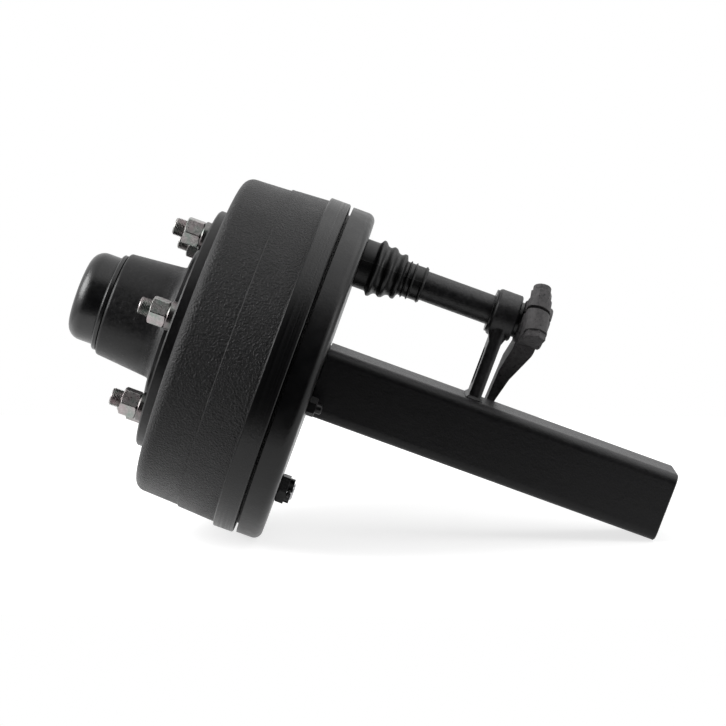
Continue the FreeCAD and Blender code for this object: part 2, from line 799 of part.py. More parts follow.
def splitPin(radius, crown):
    """A split pin along X, through a nut whose crown has the given radius: a flat ring for
    its eye, a straight shank, and two legs that are opened past the crown."""
    size = {name: radius * share for name, share in pinShares.items()}
    eyeMiddle = Vector(-(crown + n["faceGap"] + size["eye"]), -size["eyeDrop"], 0)
    ring = Part.makeCylinder(size["eye"], size["eyeThick"], eyeMiddle, Vector(0, 1, 0))
    ring = ring.cut(Part.makeCylinder(size["eyeHole"], size["eyeThick"], eyeMiddle, Vector(0, 1, 0)))
    shankStart = eyeMiddle.x + size["neck"]
    pin = ring.fuse(Part.makeCylinder(radius, crown + radius - shankStart, Vector(shankStart, 0, 0),
                                      Vector(1, 0, 0)))
    for way in (-1, 1):
        legStart = Vector(crown + size["legRoot"], 0, 0)
        pin = pin.fuse(Part.makeCylinder(size["leg"], n["cotterLegLength"], legStart,
                                         Vector(legWay[0], 0, way * legWay[1])))
    return pin


finished("anchor_cotter", splitPin(n["anchorCotterRadius"], crownRadius(n["anchorNutAcross"])),
         y=-anchorCotterIn, z=-anchorDepth)

# The camshaft turns in a bush in the flange, passes through the boot and ends in a second
# bush in a bracket on the beam.
turnedPiece("cam_bush", [
    (s.camshaftRadius + s.runningFit, -flangeFrontIn),
    (camBushRadius, -flangeFrontIn),
    (camBushRadius, -camBossEndIn),
    (s.camshaftRadius + s.runningFit, -camBossEndIn),
], z=camHeight)


def bootAt(share):
    return -(s.coverBackIn + s.faceGap + s.bootLength * share)


# Each row is a step out from the boot's neck, its share of the length and its round.
bootFolds = [(0, 0.0, None), (0, 0.175, None), (4.4, 0.24, 2.4), (-2.2, 0.345, 1.8), (1.5, 0.42, 2.2),
             (-5.6, 0.52, 1.8), (-1.2, 0.605, 2.2), (-8.1, 0.685, None)]
bootRings = [(-8.1, 0.704), (-5.7, 0.716), (-5.7, 0.738), (-8.1, 0.750), (-8.1, 0.788), (-5.7, 0.800),
             (-5.7, 0.822), (-8.1, 0.834), (-8.1, 0.945), (-6.6, 0.953), (-6.6, 0.99), (-7.4, 1.0)]
bootNeckInner = s.camBossRadius + s.staticFit
bootTube = s.camshaftRadius + s.softGap
bootWaist = s.bootNeckRadius - 8.1
turnedPiece("cam_boot", [(bootNeckInner, bootAt(0))] + [
    (s.bootNeckRadius + out, bootAt(share)) + ((bend,) if bend else ()) for out, share, bend in bootFolds
] + [(s.bootNeckRadius + out, bootAt(share)) for out, share in bootRings] + [
    (bootTube, bootAt(1.0)),
    (bootTube, bootAt(0.7)),
    (bootWaist, bootAt(0.62)),
    (bootWaist, bootAt(0.23)),
    (bootNeckInner, bootAt(0.2)),
], z=camHeight)


def involute(roll):
    """A point of the cam's flank. The string of the involute is level where the cam meets
    the shoe, so the shoe's flat pad moves by the base radius times the turn."""
    base = n["camBaseRadius"]
    turn = roll - n["camRestLift"] / base
    sine, cosine = math.sin(turn), math.cos(turn)
    return Vector(-base * (roll * cosine - sine), 0, base * (cosine + roll * sine))


def camOutline():
    """The S shape: two involute flanks, each run into a round nose and back to the other."""
    rolls = [0.4 + 0.2 * i for i in range(8)]
    flank = [involute(roll) for roll in rolls]
    slope = (flank[-1] - flank[-2]).normalize()
    across = Vector(slope.z, 0, -slope.x)
    nose = n["camNoseRadius"]
    tip = flank[-1]
    noseTop = tip + across * nose + slope * nose
    noseBack = tip + across * 2 * nose
    edges = []
    for way in (1, -1):
        curve = Part.BSplineCurve()
        curve.interpolate([point * way for point in flank])
        edges.append(curve.toShape())
        edges.append(Part.Arc(tip * way, noseTop * way, noseBack * way).toShape())
        edges.append(Part.makeLine(noseBack * way, flank[0] * -way))
    return Part.Wire(Part.__sortEdges__(edges))


camFrontIn = n["liningOutboardIn"]
camBackIn = camFrontIn + n["liningWidth"]
shaftRadius, neckRadius, thrustRadius = n["camshaftRadius"], n["camNeckRadius"], n["camThrustRadius"]
splineRadius = shaftRadius - n["splineRelief"]
thrustBackIn = flangeFrontIn.value - n["sidePlay"]
thrustFrontIn = thrustBackIn - n["camThrustWidth"]
camshaft = Part.Face(camOutline()).extrude(Vector(0, -(camBackIn - camFrontIn), 0))
camshaft.translate(Vector(0, -camFrontIn, 0))
camEnd, leverStart, endBevel = n["camEndIn"], leverOutboardIn.value, n["splineBevel"]
overlap = 2.0  # how far two forms of one piece run into each other
shaftSteps = [(neckRadius, camBackIn - overlap), (neckRadius, thrustFrontIn), (thrustRadius, thrustFrontIn),
              (thrustRadius, thrustBackIn), (shaftRadius, thrustBackIn), (shaftRadius, leverStart),
              (splineRadius, leverStart), (splineRadius, camEnd - endBevel),
              (splineRadius - endBevel, camEnd), (0, camEnd), (0, camBackIn - overlap)]
steps = [Vector(radius, -along, 0) for radius, along in shaftSteps]
shaft = Part.Face(Part.makePolygon(steps + steps[:1])).revolve(Vector(), Vector(0, 1, 0), 360)
camshaft = camshaft.fuse(shaft)
grooves = []
toothPitch = 2 * math.pi * splineRadius / n["splineCount"]
for i in range(int(n["splineCount"])):
    across, top, cutStart = toothPitch * 0.4, splineRadius + n["faceGap"], -camEnd - overlap
    mouth = [Vector(-across, cutStart, top), Vector(across, cutStart, top),
             Vector(0, cutStart, splineRadius - n["splineDepth"])]
    groove = Part.Face(Part.makePolygon(mouth + mouth[:1]))
    groove = groove.extrude(Vector(0, n["splineGrooveLength"] + overlap, 0))
    groove.rotate(Vector(), Vector(0, 1, 0), 360 / n["splineCount"] * i)
    grooves.append(groove)
camshaft = camshaft.cut(Part.makeCompound(grooves))
finished("camshaft", camshaft, z=camHeight)

# The bracket stands on the beam. Its leg is a flat plate with a shallow panel in its side,
# and it widens where it runs into the ring.
bracket = newBody("support_bracket")
bracketHalf = s.bracketWidth / 2
bracketBore = s.supportBushRadius + s.staticFit
legFoot = camHeight - beamHalf
legFront, legBack = -s.bracketRadius + s.bracketLegInset, s.bracketRadius - s.bracketLegInset
footFront, footBack = legFront + s.turnedBevel, legBack + s.bracketFootSpread
revolve(bracket, "ring", [
    (bracketBore, bracketHalf),
    (s.bracketRadius, bracketHalf, s.bracketRound),
    (s.bracketRadius, -bracketHalf + s.bracketBevel),
    (s.bracketRadius - s.bracketBevel, -bracketHalf),
    (bracketBore, -bracketHalf),
])
leg = newSketch(bracket, "leg_outline", "XZ_Plane")
outline(leg, [(legFront, 0), (legBack, 0), (footBack, -legFoot), (footFront, -legFoot)])
pad(bracket, "leg", leg, s.bracketLegThick, symmetric=True)
bevel(bracket, "leg_front_round", s.legFrontRound,
      lambda edge: edge.BoundBox.XMax < -10 and edge.BoundBox.ZLength > 30 and edge.BoundBox.XLength < 5,
      "PartDesign::Fillet")
neck = newSketch(bracket, "neck_outline", "YZ_Plane")
neckHalf, legHalf = s.bracketNeckWidth / 2, s.bracketLegThick / 2
neckSide = legHalf - s.faceGap
neckSides = [(neckHalf, -s.supportBushRadius), (neckSide, -s.bracketNeckTop, s.bracketNeckRound),
             (neckSide, -s.bracketNeckBottom)]
outline(neck, neckSides + [(-corner[0],) + corner[1:] for corner in reversed(neckSides)])
pad(bracket, "neck", neck, s.bracketNeckDepth, symmetric=True)
boreRound = newSketch(bracket, "bore_round", "XZ_Plane")
disc(boreRound, 0, 0, bracketBore)
pocket(bracket, "bore", boreRound, s.bracketWidth * 2, symmetric=True)
panel = newSketch(bracket, "panel_outline", "XZ_Plane", -legHalf)
panelBack = legBack - s.turnedBevel
outline(panel, [(panelBack - s.panelWidth, -legFoot + s.panelFoot, s.panelRound),
                (panelBack, -legFoot + s.panelFoot, s.panelRound),
                (panelBack, -s.panelTop, s.panelRound),
                (panelBack - s.panelWidth, -s.panelTop, s.panelRound)])
pocket(bracket, "panel", panel, s.panelDepth, reverse=True)
weld = newSketch(bracket, "weld_outline", "XY_Plane", -legFoot)
weldFront, weldBack, weldHalf = footFront - s.weldSize, footBack + s.weldSize, legHalf + s.weldSize
outline(weld, [(weldFront, -weldHalf, s.weldSize), (weldBack, -weldHalf, s.weldSize),
               (weldBack, weldHalf, s.weldSize), (weldFront, weldHalf, s.weldSize)])
bead = pad(bracket, "weld", weld, s.weldSize)
bead.TaperAngle = -driving["weldSlope"]
bind(bead, "TaperAngle", -s.weldSlope)
place(bracket, 0, -(s.bracketOutboardIn + bracketHalf), camHeight)
nodes["support_bracket"] = bracket
turnedPiece("support_bush", [
    (s.camshaftRadius + s.runningFit, -(s.bracketOutboardIn - s.supportFlangeThick)),
    (s.supportFlangeRadius, -(s.bracketOutboardIn - s.supportFlangeThick)),
    (s.supportFlangeRadius, -s.bracketOutboardIn),
    (s.supportBushRadius, -s.bracketOutboardIn),
    (s.supportBushRadius, -supportEndIn),
    (s.camshaftRadius + s.runningFit, -supportEndIn),
], z=camHeight)

# The brake lever: a split hub drawn up by a pinch bolt, and an arm that hangs behind the
# beam. The arm grows thinner on its way down and bends a little towards the drum.
leverFit = splineRadius + n["staticFit"]


def cylinderAlongY(radius, length, x=0.0, z=0.0):
    return Part.makeCylinder(radius, length, Vector(x, length / 2, z), Vector(0, -1, 0))


def fromOutline(points, push):
    """A prism from the corners of a flat outline."""
    return Part.Face(Part.makePolygon(points + points[:1])).extrude(push)


armLength, hubRadius, width = n["leverLength"], n["leverHubRadius"], n["leverHubWidth"]
tipRadius, armRoot = n["clevisHoleRadius"] + n["leverTipWall"], n["leverRootHalf"]
wide = 3 * width
armSide = [(-armRoot, 0), (armRoot, 0), (tipRadius, -armLength), (-tipRadius, -armLength)]
side = fromOutline([Vector(x, -width, z) for x, z in armSide], Vector(0, wide, 0))
side = side.fuse(Part.makeCylinder(tipRadius, wide, Vector(0, -width, -armLength), Vector(0, 1, 0)))
rootHalf = n["leverRootThick"] / 2
tipOut = rootHalf + n["leverCrank"]
beyondTip = -armLength - 2 * tipRadius
tipBack, bendFrom = tipOut - n["leverTipThick"], -n["leverBendFrom"]
armEdge = [(-rootHalf, 0), (-rootHalf, bendFrom), (tipOut - n["leverWaistThick"], -n["leverWaistDown"]),
           (tipBack, -n["leverTaperEnd"]), (tipBack, beyondTip), (tipOut, beyondTip),
           (tipOut, -n["leverCrankEnd"]), (rootHalf, bendFrom), (rootHalf, 0)]
strip = fromOutline([Vector(-hubRadius, y, z) for y, z in armEdge], Vector(2 * hubRadius, 0, 0))
bends = [edge for edge in strip.Edges
         if edge.BoundBox.XLength > hubRadius and -armLength < edge.BoundBox.ZMin < -overlap]
strip = strip.makeFillet(n["leverBendRadius"], bends)
arm = side.common(strip)
for i in range(2):
    pinSpot = Vector(0, -width, i * n["clevisHoleStep"] - armLength)
    arm = arm.cut(Part.makeCylinder(n["clevisHoleRadius"], wide, pinSpot, Vector(0, 1, 0)))
# The arm leans so that its middle line passes the beam's upper corner at a set distance.
armLean = math.atan((beamHalf.value + n["leverBeamPass"]) / legFoot.value)
arm.rotate(Vector(), Vector(0, 1, 0), -math.degrees(armLean))
leverHub = cylinderAlongY(hubRadius, width)
hubRims = [edge for edge in leverHub.Edges if edge.BoundBox.YLength < 0.1]
leverHub = leverHub.makeChamfer(n["leverHubBevel"], hubRims)
reach, earRadius, earTop, earBottom = n["earReach"], n["earRadius"], n["earTop"], n["earBottom"]
earHeight = earTop + earBottom
ear = Part.makeBox(reach, 2 * earRadius, earHeight, Vector(-reach, -earRadius, -earBottom))
ear = ear.fuse(Part.makeCylinder(earRadius, earHeight, Vector(-reach, 0, -earBottom)))


def ontoEar(shape):
    """Leans a shape with the pinch bolt, which isn't quite square to the shaft."""
    shape.rotate(Vector(), Vector(1, 0, 0), -n["pinchSkew"])
    shape.translate(Vector(0, n["pinchOutboard"], 0))
    return shape


slit = Part.makeBox(reach + 2 * earRadius, 2 * width, n["clampSlit"],
                    Vector(-reach - 2 * earRadius, -width, -n["clampSlit"] / 2))
pinchHole = Part.makeCylinder(n["pinchRadius"] + n["faceGap"], 4 * reach, Vector(-reach, 0, -2 * reach))
clamp = leverHub.fuse(ontoEar(ear))
clamp = clamp.cut(cylinderAlongY(leverFit, width * 2)).cut(slit).cut(ontoEar(pinchHole))
clamp.rotate(Vector(), Vector(0, 1, 0), n["leverEarAngle"])
leverShape = clamp.fuse(arm.cut(cylinderAlongY(leverFit, width * 4))).removeSplitter()
finished("brake_lever", leverShape, y=-leverMiddleIn, z=camHeight)
pinchBolt = hexNut(n["pinchAcross"], n["pinchHeadHeight"], 0, n["pinchBoltTurn"], top=False)
pinchBolt.translate(Vector(0, 0, -earBottom - n["pinchHeadHeight"]))
collarTop = earTop + n["pinchNutHeight"] + n["pinchCollarHeight"]
pinchShank = boltShank(n["pinchRadius"], earBottom + collarTop)
pinchShank.translate(Vector(0, 0, -earBottom))
pinchBolt = pinchBolt.fuse(pinchShank)
# The nut is a locking one, with a round collar above its hexagon.
nutHeight, collarHeight = n["pinchNutHeight"], n["pinchCollarHeight"]
lockCollar = Part.makeCylinder(n["pinchCollarRadius"], collarHeight, Vector(0, 0, nutHeight))
lockCollar = lockCollar.makeFillet(2 * n["turnedBevel"], [lockCollar.Edges[0]])
lockBore = Part.makeCylinder(n["pinchRadius"] + n["staticFit"], nutHeight + collarHeight)
pinchNut = hexNut(n["pinchAcross"], nutHeight, 0, n["pinchNutTurn"]).fuse(lockCollar).cut(lockBore)
pinchNut.translate(Vector(0, 0, earTop))
for name, shape in (("lever_bolt", pinchBolt), ("lever_nut", pinchNut)):
    shape.translate(Vector(-reach, 0, 0))
    ontoEar(shape)
    shape.rotate(Vector(), Vector(0, 1, 0), n["leverEarAngle"])
    finished(name, shape, y=-leverMiddleIn, z=camHeight)

# Two shoes swing on the anchor pin. Each has two webs, and their eyes sit side by side.
shoeEnd = s.shoeSpan / 2 - s.shoeEndIn


def brakeShoe(name, side):
    """side is 1 behind the axle and -1 in front of it."""
    shoe = newBody(name)
    shift = side * (s.webThick + s.eyeGap) / 2
    middles = [liningMiddleIn - s.webSpacing / 2 + shift, liningMiddleIn + s.webSpacing / 2 + shift]
    section = [(side * tableInner, -s.liningOutboardIn), (side * tableRadius, -s.liningOutboardIn),
               (side * tableRadius, -(s.liningOutboardIn + s.liningWidth)),
               (side * tableInner, -(s.liningOutboardIn + s.liningWidth))]
    for middle in reversed(middles):
        near, far = -(middle - s.webThick / 2), -(middle + s.webThick / 2)
        section += [(side * tableInner, far), (side * webInnerRadius, far),
                    (side * webInnerRadius, near), (side * tableInner, near)]
    revolve(shoe, name + "_band", section, s.shoeSpan)
    c, d = shoeEnd.cosine(), shoeEnd.sine()
    inner, outer = webInnerRadius, tableInner - s.webSink
    padFace = s.camRestLift + s.faceGap
    heel = [(0, -(anchorDepth - s.eyeRadius)), (side * inner * c, -inner * d),
            (side * outer * c, -outer * d), (0, -(anchorDepth + s.eyeRadius))]
    padLow, padHigh = camHeight - s.padHeight / 2, camHeight + s.padHeight / 2
    toe = [(side * padFace, padLow), (side * padFace, padHigh),
           (side * (padFace + s.toeShoulder), camHeight + s.toeShoulderRise),
           (side * outer * c, outer * d),
           (side * inner * c, inner * d),
           (side * (s.springPostAside - s.toePostMargin), springPostHeight - s.toePostDrop),
           (side * (s.springPostAside - s.toeTipInset), springPostHeight + s.toeTipRise)]
    for i, middle in enumerate(middles):
        tag = "%s_%d" % (name, i)
        for part, corners in (("heel", heel), ("toe", toe)):
            sketch = newSketch(shoe, "%s_%s_outline" % (tag, part), "XZ_Plane", middle)
            outline(sketch, corners)
            pad(shoe, "%s_%s" % (tag, part), sketch, s.webThick, symmetric=True)
        eye = newSketch(shoe, tag + "_eye_round", "XZ_Plane", middle)
        disc(eye, 0, -anchorDepth, s.eyeRadius)
        pad(shoe, tag + "_eye", eye, s.webThick, symmetric=True)
    across = (middles[0] + middles[1]) / 2
    block = newSketch(shoe, name + "_pad_outline", "XZ_Plane", across)
    padBack = side * (padFace + s.padThick)
    outline(block, [(side * padFace, padLow), (side * padFace, padHigh),
                    (padBack, padHigh - s.seatFillet), (padBack, padLow + s.seatFillet)])
    pad(shoe, name + "_pad", block, s.webSpacing + s.webThick, symmetric=True)
    post = newSketch(shoe, name + "_post_round", "XZ_Plane", across)
    disc(post, side * s.springPostAside, springPostHeight, s.springPostRadius)
    pad(shoe, name + "_post", post, s.webSpacing, symmetric=True)
    hole = newSketch(shoe, name + "_eye_hole_round", "XZ_Plane", across)
    disc(hole, 0, -anchorDepth, s.anchorPinRadius + s.runningFit)
    pocket(shoe, name + "_eye_hole", hole, s.liningWidth * 2, symmetric=True)
    nodes[name] = shoe
    lining = newBody(name.replace("shoe", "lining"))
    revolve(lining, name + "_lining_band", [
        (side * (tableRadius + s.staticFit), -s.liningOutboardIn),
        (side * liningRadius, -s.liningOutboardIn),
        (side * liningRadius, -(s.liningOutboardIn + s.liningWidth)),
        (side * (tableRadius + s.staticFit), -(s.liningOutboardIn + s.liningWidth))], s.liningSpan)
    nodes[lining.Name] = lining


brakeShoe("front_shoe", -1)
brakeShoe("rear_shoe", 1)

# The return spring is wound close, so it is a ribbed bar with a loop round each post.
wire, coil, groove = n["springWire"], n["springRadius"], n["springGroove"]
turns = int(n["springTurns"])
coilHalf = turns * wire / 2
ribs = [Vector(-coilHalf, 0, 0)]
for i in range(turns):
    start = -coilHalf + i * wire
    ribs += [Vector(start, 0, coil - groove), Vector(start + wire / 2, 0, coil)]
ribs += [Vector(coilHalf, 0, coil - groove), Vector(coilHalf, 0, 0), Vector(-coilHalf, 0, 0)]
spring = Part.Face(Part.makePolygon(ribs)).revolve(Vector(), Vector(1, 0, 0), 360)
loopRadius = n["springPostRadius"] + wire / 2 + n["softGap"]
for way in (-1, 1):
    centre = way * n["springPostAside"]
    spring = spring.fuse(Part.makeTorus(loopRadius, wire / 2, Vector(centre, 0, 0), Vector(0, 1, 0)))
    inner = way * (coilHalf - 1)
    length = abs(centre - inner) - loopRadius
    spring = spring.fuse(Part.makeCylinder(wire / 2, length, Vector(inner, 0, 0), Vector(way, 0, 0)))
finished("return_spring", spring, y=-liningMiddleIn, z=springPostHeight)

# The hub is one casting that carries the wheel flange and both bearing cups.
outerCupBack = s.outerBearingOut - s.outerBearingWidth
innerCupBack = s.innerBearingWidth - s.innerBearingIn
pilotRadius = s.spigotRadius + s.pilotStep
cavityLip = s.outerCupRadius - s.cupShoulder
hubBody = newBody("hub")
revolve(hubBody, "casting", [
    (s.sealSeatRadius, -s.hubInnerIn),
    (s.hubInnerRadius - s.castBevel, -s.hubInnerIn),
    (s.hubInnerRadius, -s.hubInnerIn + s.castBevel),
    (s.hubInnerRadius, -drumWallIn, s.hubBackRound),
    (pilotRadius - s.turnedBevel, -drumWallIn),
    (pilotRadius, -drumWallIn + s.turnedBevel),
    (pilotRadius, -s.flangeThick),
    (flangeRadius - s.castBevel, -s.flangeThick),
    (flangeRadius, -s.flangeThick + s.castBevel),
    (flangeRadius, -s.castBevel),
    (flangeRadius - s.castBevel, 0),
    (s.spigotRadius, 0),
    (s.spigotRadius, s.spigotHeight - s.castBevel),
    (s.spigotRadius - s.castBevel, s.spigotHeight),
    (s.hubRootRadius, s.spigotHeight, s.hubFootRound),
    (s.hubMouthRadius, s.hubMouthOut, s.hubMouthRound),
    (s.capSeatRadius, s.hubMouthOut),
    (s.capSeatRadius, s.outerBearingOut + s.seatFillet),
    (s.outerCupRadius, s.outerBearingOut + s.pilotStep),
    (s.outerCupRadius, outerCupBack),
    (cavityLip, outerCupBack),
    (cavityLip, outerCupBack - s.cupShoulder),
    (s.hubCavityRadius, innerCupBack + 2 * s.hubFootRound),
    (s.hubCavityRadius, innerCupBack),
    (s.innerCupRadius, innerCupBack),
    (s.innerCupRadius, -s.innerBearingIn + s.turnedBevel),
    (s.sealSeatRadius, -s.innerBearingIn + s.turnedBevel),
])
studPattern = newSketch(hubBody, "stud_holes_round", "XZ_Plane")
studAngles = [s.studFirstAngle + 360 / n["studCount"] * i for i in range(int(n["studCount"]))]
for angle in studAngles:
    disc(studPattern, -studCircleRadius * angle.sine(), studCircleRadius * angle.cosine(),
         s.studRadius + s.staticFit)
pocket(hubBody, "stud_holes", studPattern, drumWallIn * 2, symmetric=True)
nodes["hub"] = hubBody

# The drum hangs on the hub's pilot, behind the flange, and the studs pass through both.
drum = newBody("brake_drum")
revolve(drum, "drum_casting", [
    (pilotRadius + s.staticFit, -drumFaceIn),
    (s.drumBoreRadius + s.drumFaceWall, -drumFaceIn, s.drumCornerRadius),
    (drumStepRadius - s.drumStepRise, -s.drumStepIn),
    (drumStepRadius, -(s.drumStepIn + s.turnedBevel)),
    (s.drumBoreRadius + s.drumBodyWall, -s.rimStartIn, s.castBevel),
    (rimRadius - s.turnedBevel, -(s.rimStartIn + s.faceGap)),
    (rimRadius, -(s.rimStartIn + s.turnedBevel)),
    (rimRadius, -(s.rimEndIn - s.turnedBevel)),
    (rimRadius - s.turnedBevel, -s.rimEndIn),
    (drumLipRadius, -s.rimEndIn),
    (drumLipRadius, -s.drumEndIn),
    (s.drumBoreRadius + s.castBevel, -s.drumEndIn),
    (s.drumBoreRadius, -(s.drumEndIn - s.castBevel)),
    (s.drumBoreRadius, -drumWallIn, s.drumInnerRound),
    (pilotRadius + s.staticFit, -drumWallIn),
])
drumHoles = newSketch(drum, "drum_holes_round", "XZ_Plane", drumFaceIn)
for angle in studAngles:
    disc(drumHoles, -studCircleRadius * angle.sine(), studCircleRadius * angle.cosine(),
         s.studRadius + s.staticFit)
pocket(drum, "drum_holes", drumHoles, s.drumBackWall * 3, symmetric=True)
nodes["brake_drum"] = drum

# Wheel studs, their nuts and the thick washers under the nuts.
studBack = drumWallIn.value
stud = alongY(boltShank(n["studRadius"], n["studReach"] + studBack), -studBack)
studHead = Part.makeCylinder(n["studHeadRadius"], n["studHeadThick"])
stud = stud.fuse(alongY(studHead, -studBack, outboard=False))
washer = Part.makeCylinder(n["washerRadius"], n["washerThick"])
washerTop = [edge for edge in washer.Edges if edge.BoundBox.ZMin > n["washerThick"] - 0.1]
washer = washer.makeChamfer(n["threadBevel"], washerTop)
washer = washer.cut(Part.makeCylinder(n["studRadius"] + n["staticFit"], n["washerThick"]))
wheelNut = hexNut(n["nutAcross"], n["nutHeight"], n["studRadius"] + n["staticFit"])
studSpots = circleSpots(studCircleRadius.value, int(n["studCount"]), n["studFirstAngle"])
finished("wheel_studs", setOf(stud, studSpots))
finished("wheel_washers", setOf(alongY(washer, 0), studSpots))
nutTurns = (12, 0, 6, 20, 33, 50)  # degrees, as each nut came to rest
nuts = []
for (x, z), turn in zip(studSpots, nutTurns):
    nut = wheelNut.copy()
    nut.rotate(Vector(), Vector(0, 0, 1), turn)
    nuts.append(alongY(nut, 0, x, z))
finished("wheel_nuts", Part.makeCompound(nuts), y=s.washerThick)

# The hub cap is pressed into the mouth of the hub.
capSkirt = s.capSeatRadius - s.staticFit
capInner = s.capRadius - s.capWall
beadFoot, beadTop = s.hubMouthOut + s.turnedBevel / 4, s.hubMouthOut + s.capBeadWidth
turnedPiece("hub_cap", [
    (0, s.capTopOut),
    (s.capRadius - s.capCrownIn, s.capTopOut - s.turnedBevel, s.capCrownRadius),
    (s.capRadius, s.capTopOut - s.capCrownDrop, s.capCornerRadius),
    (s.capRadius, beadTop + s.capBeadBevel),
    (s.capBeadRadius - s.capBeadBevel, beadTop),
    (s.capBeadRadius, beadTop - s.capBeadBevel),
    (s.capBeadRadius, beadFoot + s.turnedBevel),
    (s.capBeadRadius - s.turnedBevel, beadFoot),
    (capSkirt, beadFoot),
    (capSkirt, s.hubMouthOut - s.capSkirtLength),
    (capSkirt - s.capWall, s.hubMouthOut - s.capSkirtLength),
    (capSkirt - s.capWall, s.hubMouthOut + s.capWall),
    (capInner, beadTop),
    (capInner, s.capTopOut - s.capCrownDrop - s.capWall, s.capCornerRadius - s.capWall),
    (0, s.capTopOut - s.capWall),
])

# The seal rides in the back of the hub and its lip runs on the collar.
sealBackIn = s.innerBearingIn + s.sealThick
sealOuter, sealStart = s.sealSeatRadius - s.staticFit, s.innerBearingIn - s.sidePlay
lipIn = sealBackIn - s.sealWall
turnedPiece("hub_seal", [
    (sealOuter, -sealStart),
    (sealOuter, -sealBackIn),
    (s.collarRadius + s.sealWall, -sealBackIn),
    (s.collarRadius + s.softGap, -lipIn),
    (s.collarRadius + s.sealWall / 2, -(lipIn - s.sealWall / 2)),
    (s.collarRadius + 2 * s.sealWall, -lipIn),
    (sealOuter - s.sealWall, -lipIn),
    (sealOuter - s.sealWall, -sealStart),
])


def lathe(points):
    """A solid turned about Y from (radius, y) points."""
    corners = [Vector(radius, y, 0) for radius, y in points]
    return Part.Face(Part.makePolygon(corners + corners[:1])).revolve(Vector(), Vector(0, 1, 0), 360)


def taperBearing(label, way, faceY):
    """A taper roller bearing. way is 1 where its rollers grow towards the wheel. The races and
    the roller axes all meet at one point of the spin axis, as they must to roll truly."""
    bore, cup = n[label + "BoreRadius"], n[label + "CupRadius"]
    cupWidth, coneWidth = n[label + "CupWidth"], n[label + "ConeWidth"]
    overall, count = n[label + "BearingWidth"], int(n[label + "RollerCount"])
    race, roll = n[label + "RaceRadius"], n["rollerMeanRadius"]
    fit, gap, endGap = n["staticFit"], n["rollingGap"], n["rollerEndGap"]
    outerSlope = math.radians(n["cupSlope"])
    raceMiddle = cupWidth / 2 + n["raceMiddleIn"]
    apex = raceMiddle - race / math.tan(outerSlope)
    reachOut = race / math.sin(outerSlope)
    halfCone = math.asin(roll / reachOut)
    axisSlope, innerSlope = outerSlope - halfCone, outerSlope - 2 * halfCone
    centreReach = reachOut * math.cos(halfCone)
    rollerLength = coneWidth * n["rollerLengthShare"]
    ends = [centreReach - rollerLength / 2, centreReach + rollerLength / 2]
    radii = [end * math.tan(halfCone) - gap for end in ends]

    def along(position):
        return faceY - way * (overall - position)

    def onRace(slope, position):
        return (position - apex) * math.tan(slope)

    finished(label + "_bearing_cup", lathe([
        (onRace(outerSlope, 0), along(0)), (cup - fit, along(0)),
        (cup - fit, along(cupWidth)), (onRace(outerSlope, cupWidth), along(cupWidth))]))
    smallEnd = apex + ends[0] * math.cos(axisSlope) - endGap
    ribRise = (roll + n["coneRibRise"]) * math.sin(axisSlope)
    largeEnd = apex + ends[1] * math.cos(axisSlope) + ribRise + endGap
    front = overall - coneWidth
    ribRadius = (largeEnd - apex) * math.tan(axisSlope) - n["coneRibGap"]
    smallRib = onRace(innerSlope, smallEnd) + n["smallRibRise"]
    finished(label + "_bearing_cone", lathe([
        (bore, along(front)), (smallRib, along(front)), (smallRib, along(smallEnd)),
        (onRace(innerSlope, smallEnd), along(smallEnd)), (onRace(innerSlope, largeEnd), along(largeEnd)),
        (ribRadius, along(largeEnd)), (ribRadius, along(overall)), (bore, along(overall))]))
    rollers, windows = [], []
    lift = roll * n["cageLiftShare"]
    windowWidth = 2 * (math.sqrt(roll * roll - lift * lift) + n["windowSideGap"])
    windowLength = rollerLength + 2 * endGap
    for i in range(count):
        turn = 360 / count * i
        axis = Vector(math.sin(axisSlope), way * math.cos(axisSlope), 0)
        start = Vector(0, along(apex), 0) + axis * ends[0]
        roller = Part.makeCone(radii[0], radii[1], rollerLength, start, axis)
        roller.rotate(Vector(), Vector(0, 1, 0), turn)
        rollers.append(roller)
        foot = 0 if way > 0 else -windowLength
        window = Part.makeBox(cup, windowLength, windowWidth, Vector(0, foot, -windowWidth / 2))
        window.rotate(Vector(), Vector(0, 0, 1), -math.degrees(axisSlope) * way)
        window.translate(start - axis * endGap)
        window.rotate(Vector(), Vector(0, 1, 0), turn)
        windows.append(window)
    beyond = n["cageBeyondRoller"]
    cageStart = apex + (ends[0] - beyond) * math.cos(axisSlope)
    cageEnd = apex + (ends[1] + beyond) * math.cos(axisSlope)
    thick = n["cageThick"]

    def onCage(position, out):
        return (position - apex) * math.tan(axisSlope) + lift + out

    cage = lathe([(onCage(cageStart, 0), along(cageStart)), (onCage(cageStart, thick), along(cageStart)),
                  (onCage(cageEnd, thick), along(cageEnd)), (onCage(cageEnd, 0), along(cageEnd))])
    finished(label + "_rollers", Part.makeCompound(rollers))
    finished(label + "_cage", cage.cut(Part.makeCompound(windows)))


taperBearing("outer", 1, n["outerBearingOut"])
taperBearing("inner", -1, -n["innerBearingIn"])

# A washer, a castle nut and a split pin set the play of the bearings.
washerOut = s.outerBearingOut + s.spindleWasherThick
turnedPiece("spindle_washer", [
    (s.spindleThreadRadius + s.staticFit, s.outerBearingOut),
    (s.spindleWasherRadius, s.outerBearingOut),
    (s.spindleWasherRadius, washerOut),
    (s.spindleThreadRadius + s.staticFit, washerOut),
])
spindleNutBore = n["spindleThreadRadius"] + n["staticFit"]
spindleNut = castleNut(n["spindleNutAcross"], n["spindleNutHeight"], spindleNutBore,
                       n["spindleSlotWidth"], n["spindleSlotDepth"])
finished("spindle_nut", alongY(spindleNut, 0), y=washerOut)
cotterRadius = n["cotterHoleRadius"] - n["runningFit"]
finished("spindle_cotter", splitPin(cotterRadius, crownRadius(n["spindleNutAcross"])),
         y=s.spindleEndOut - s.cotterFromEnd)

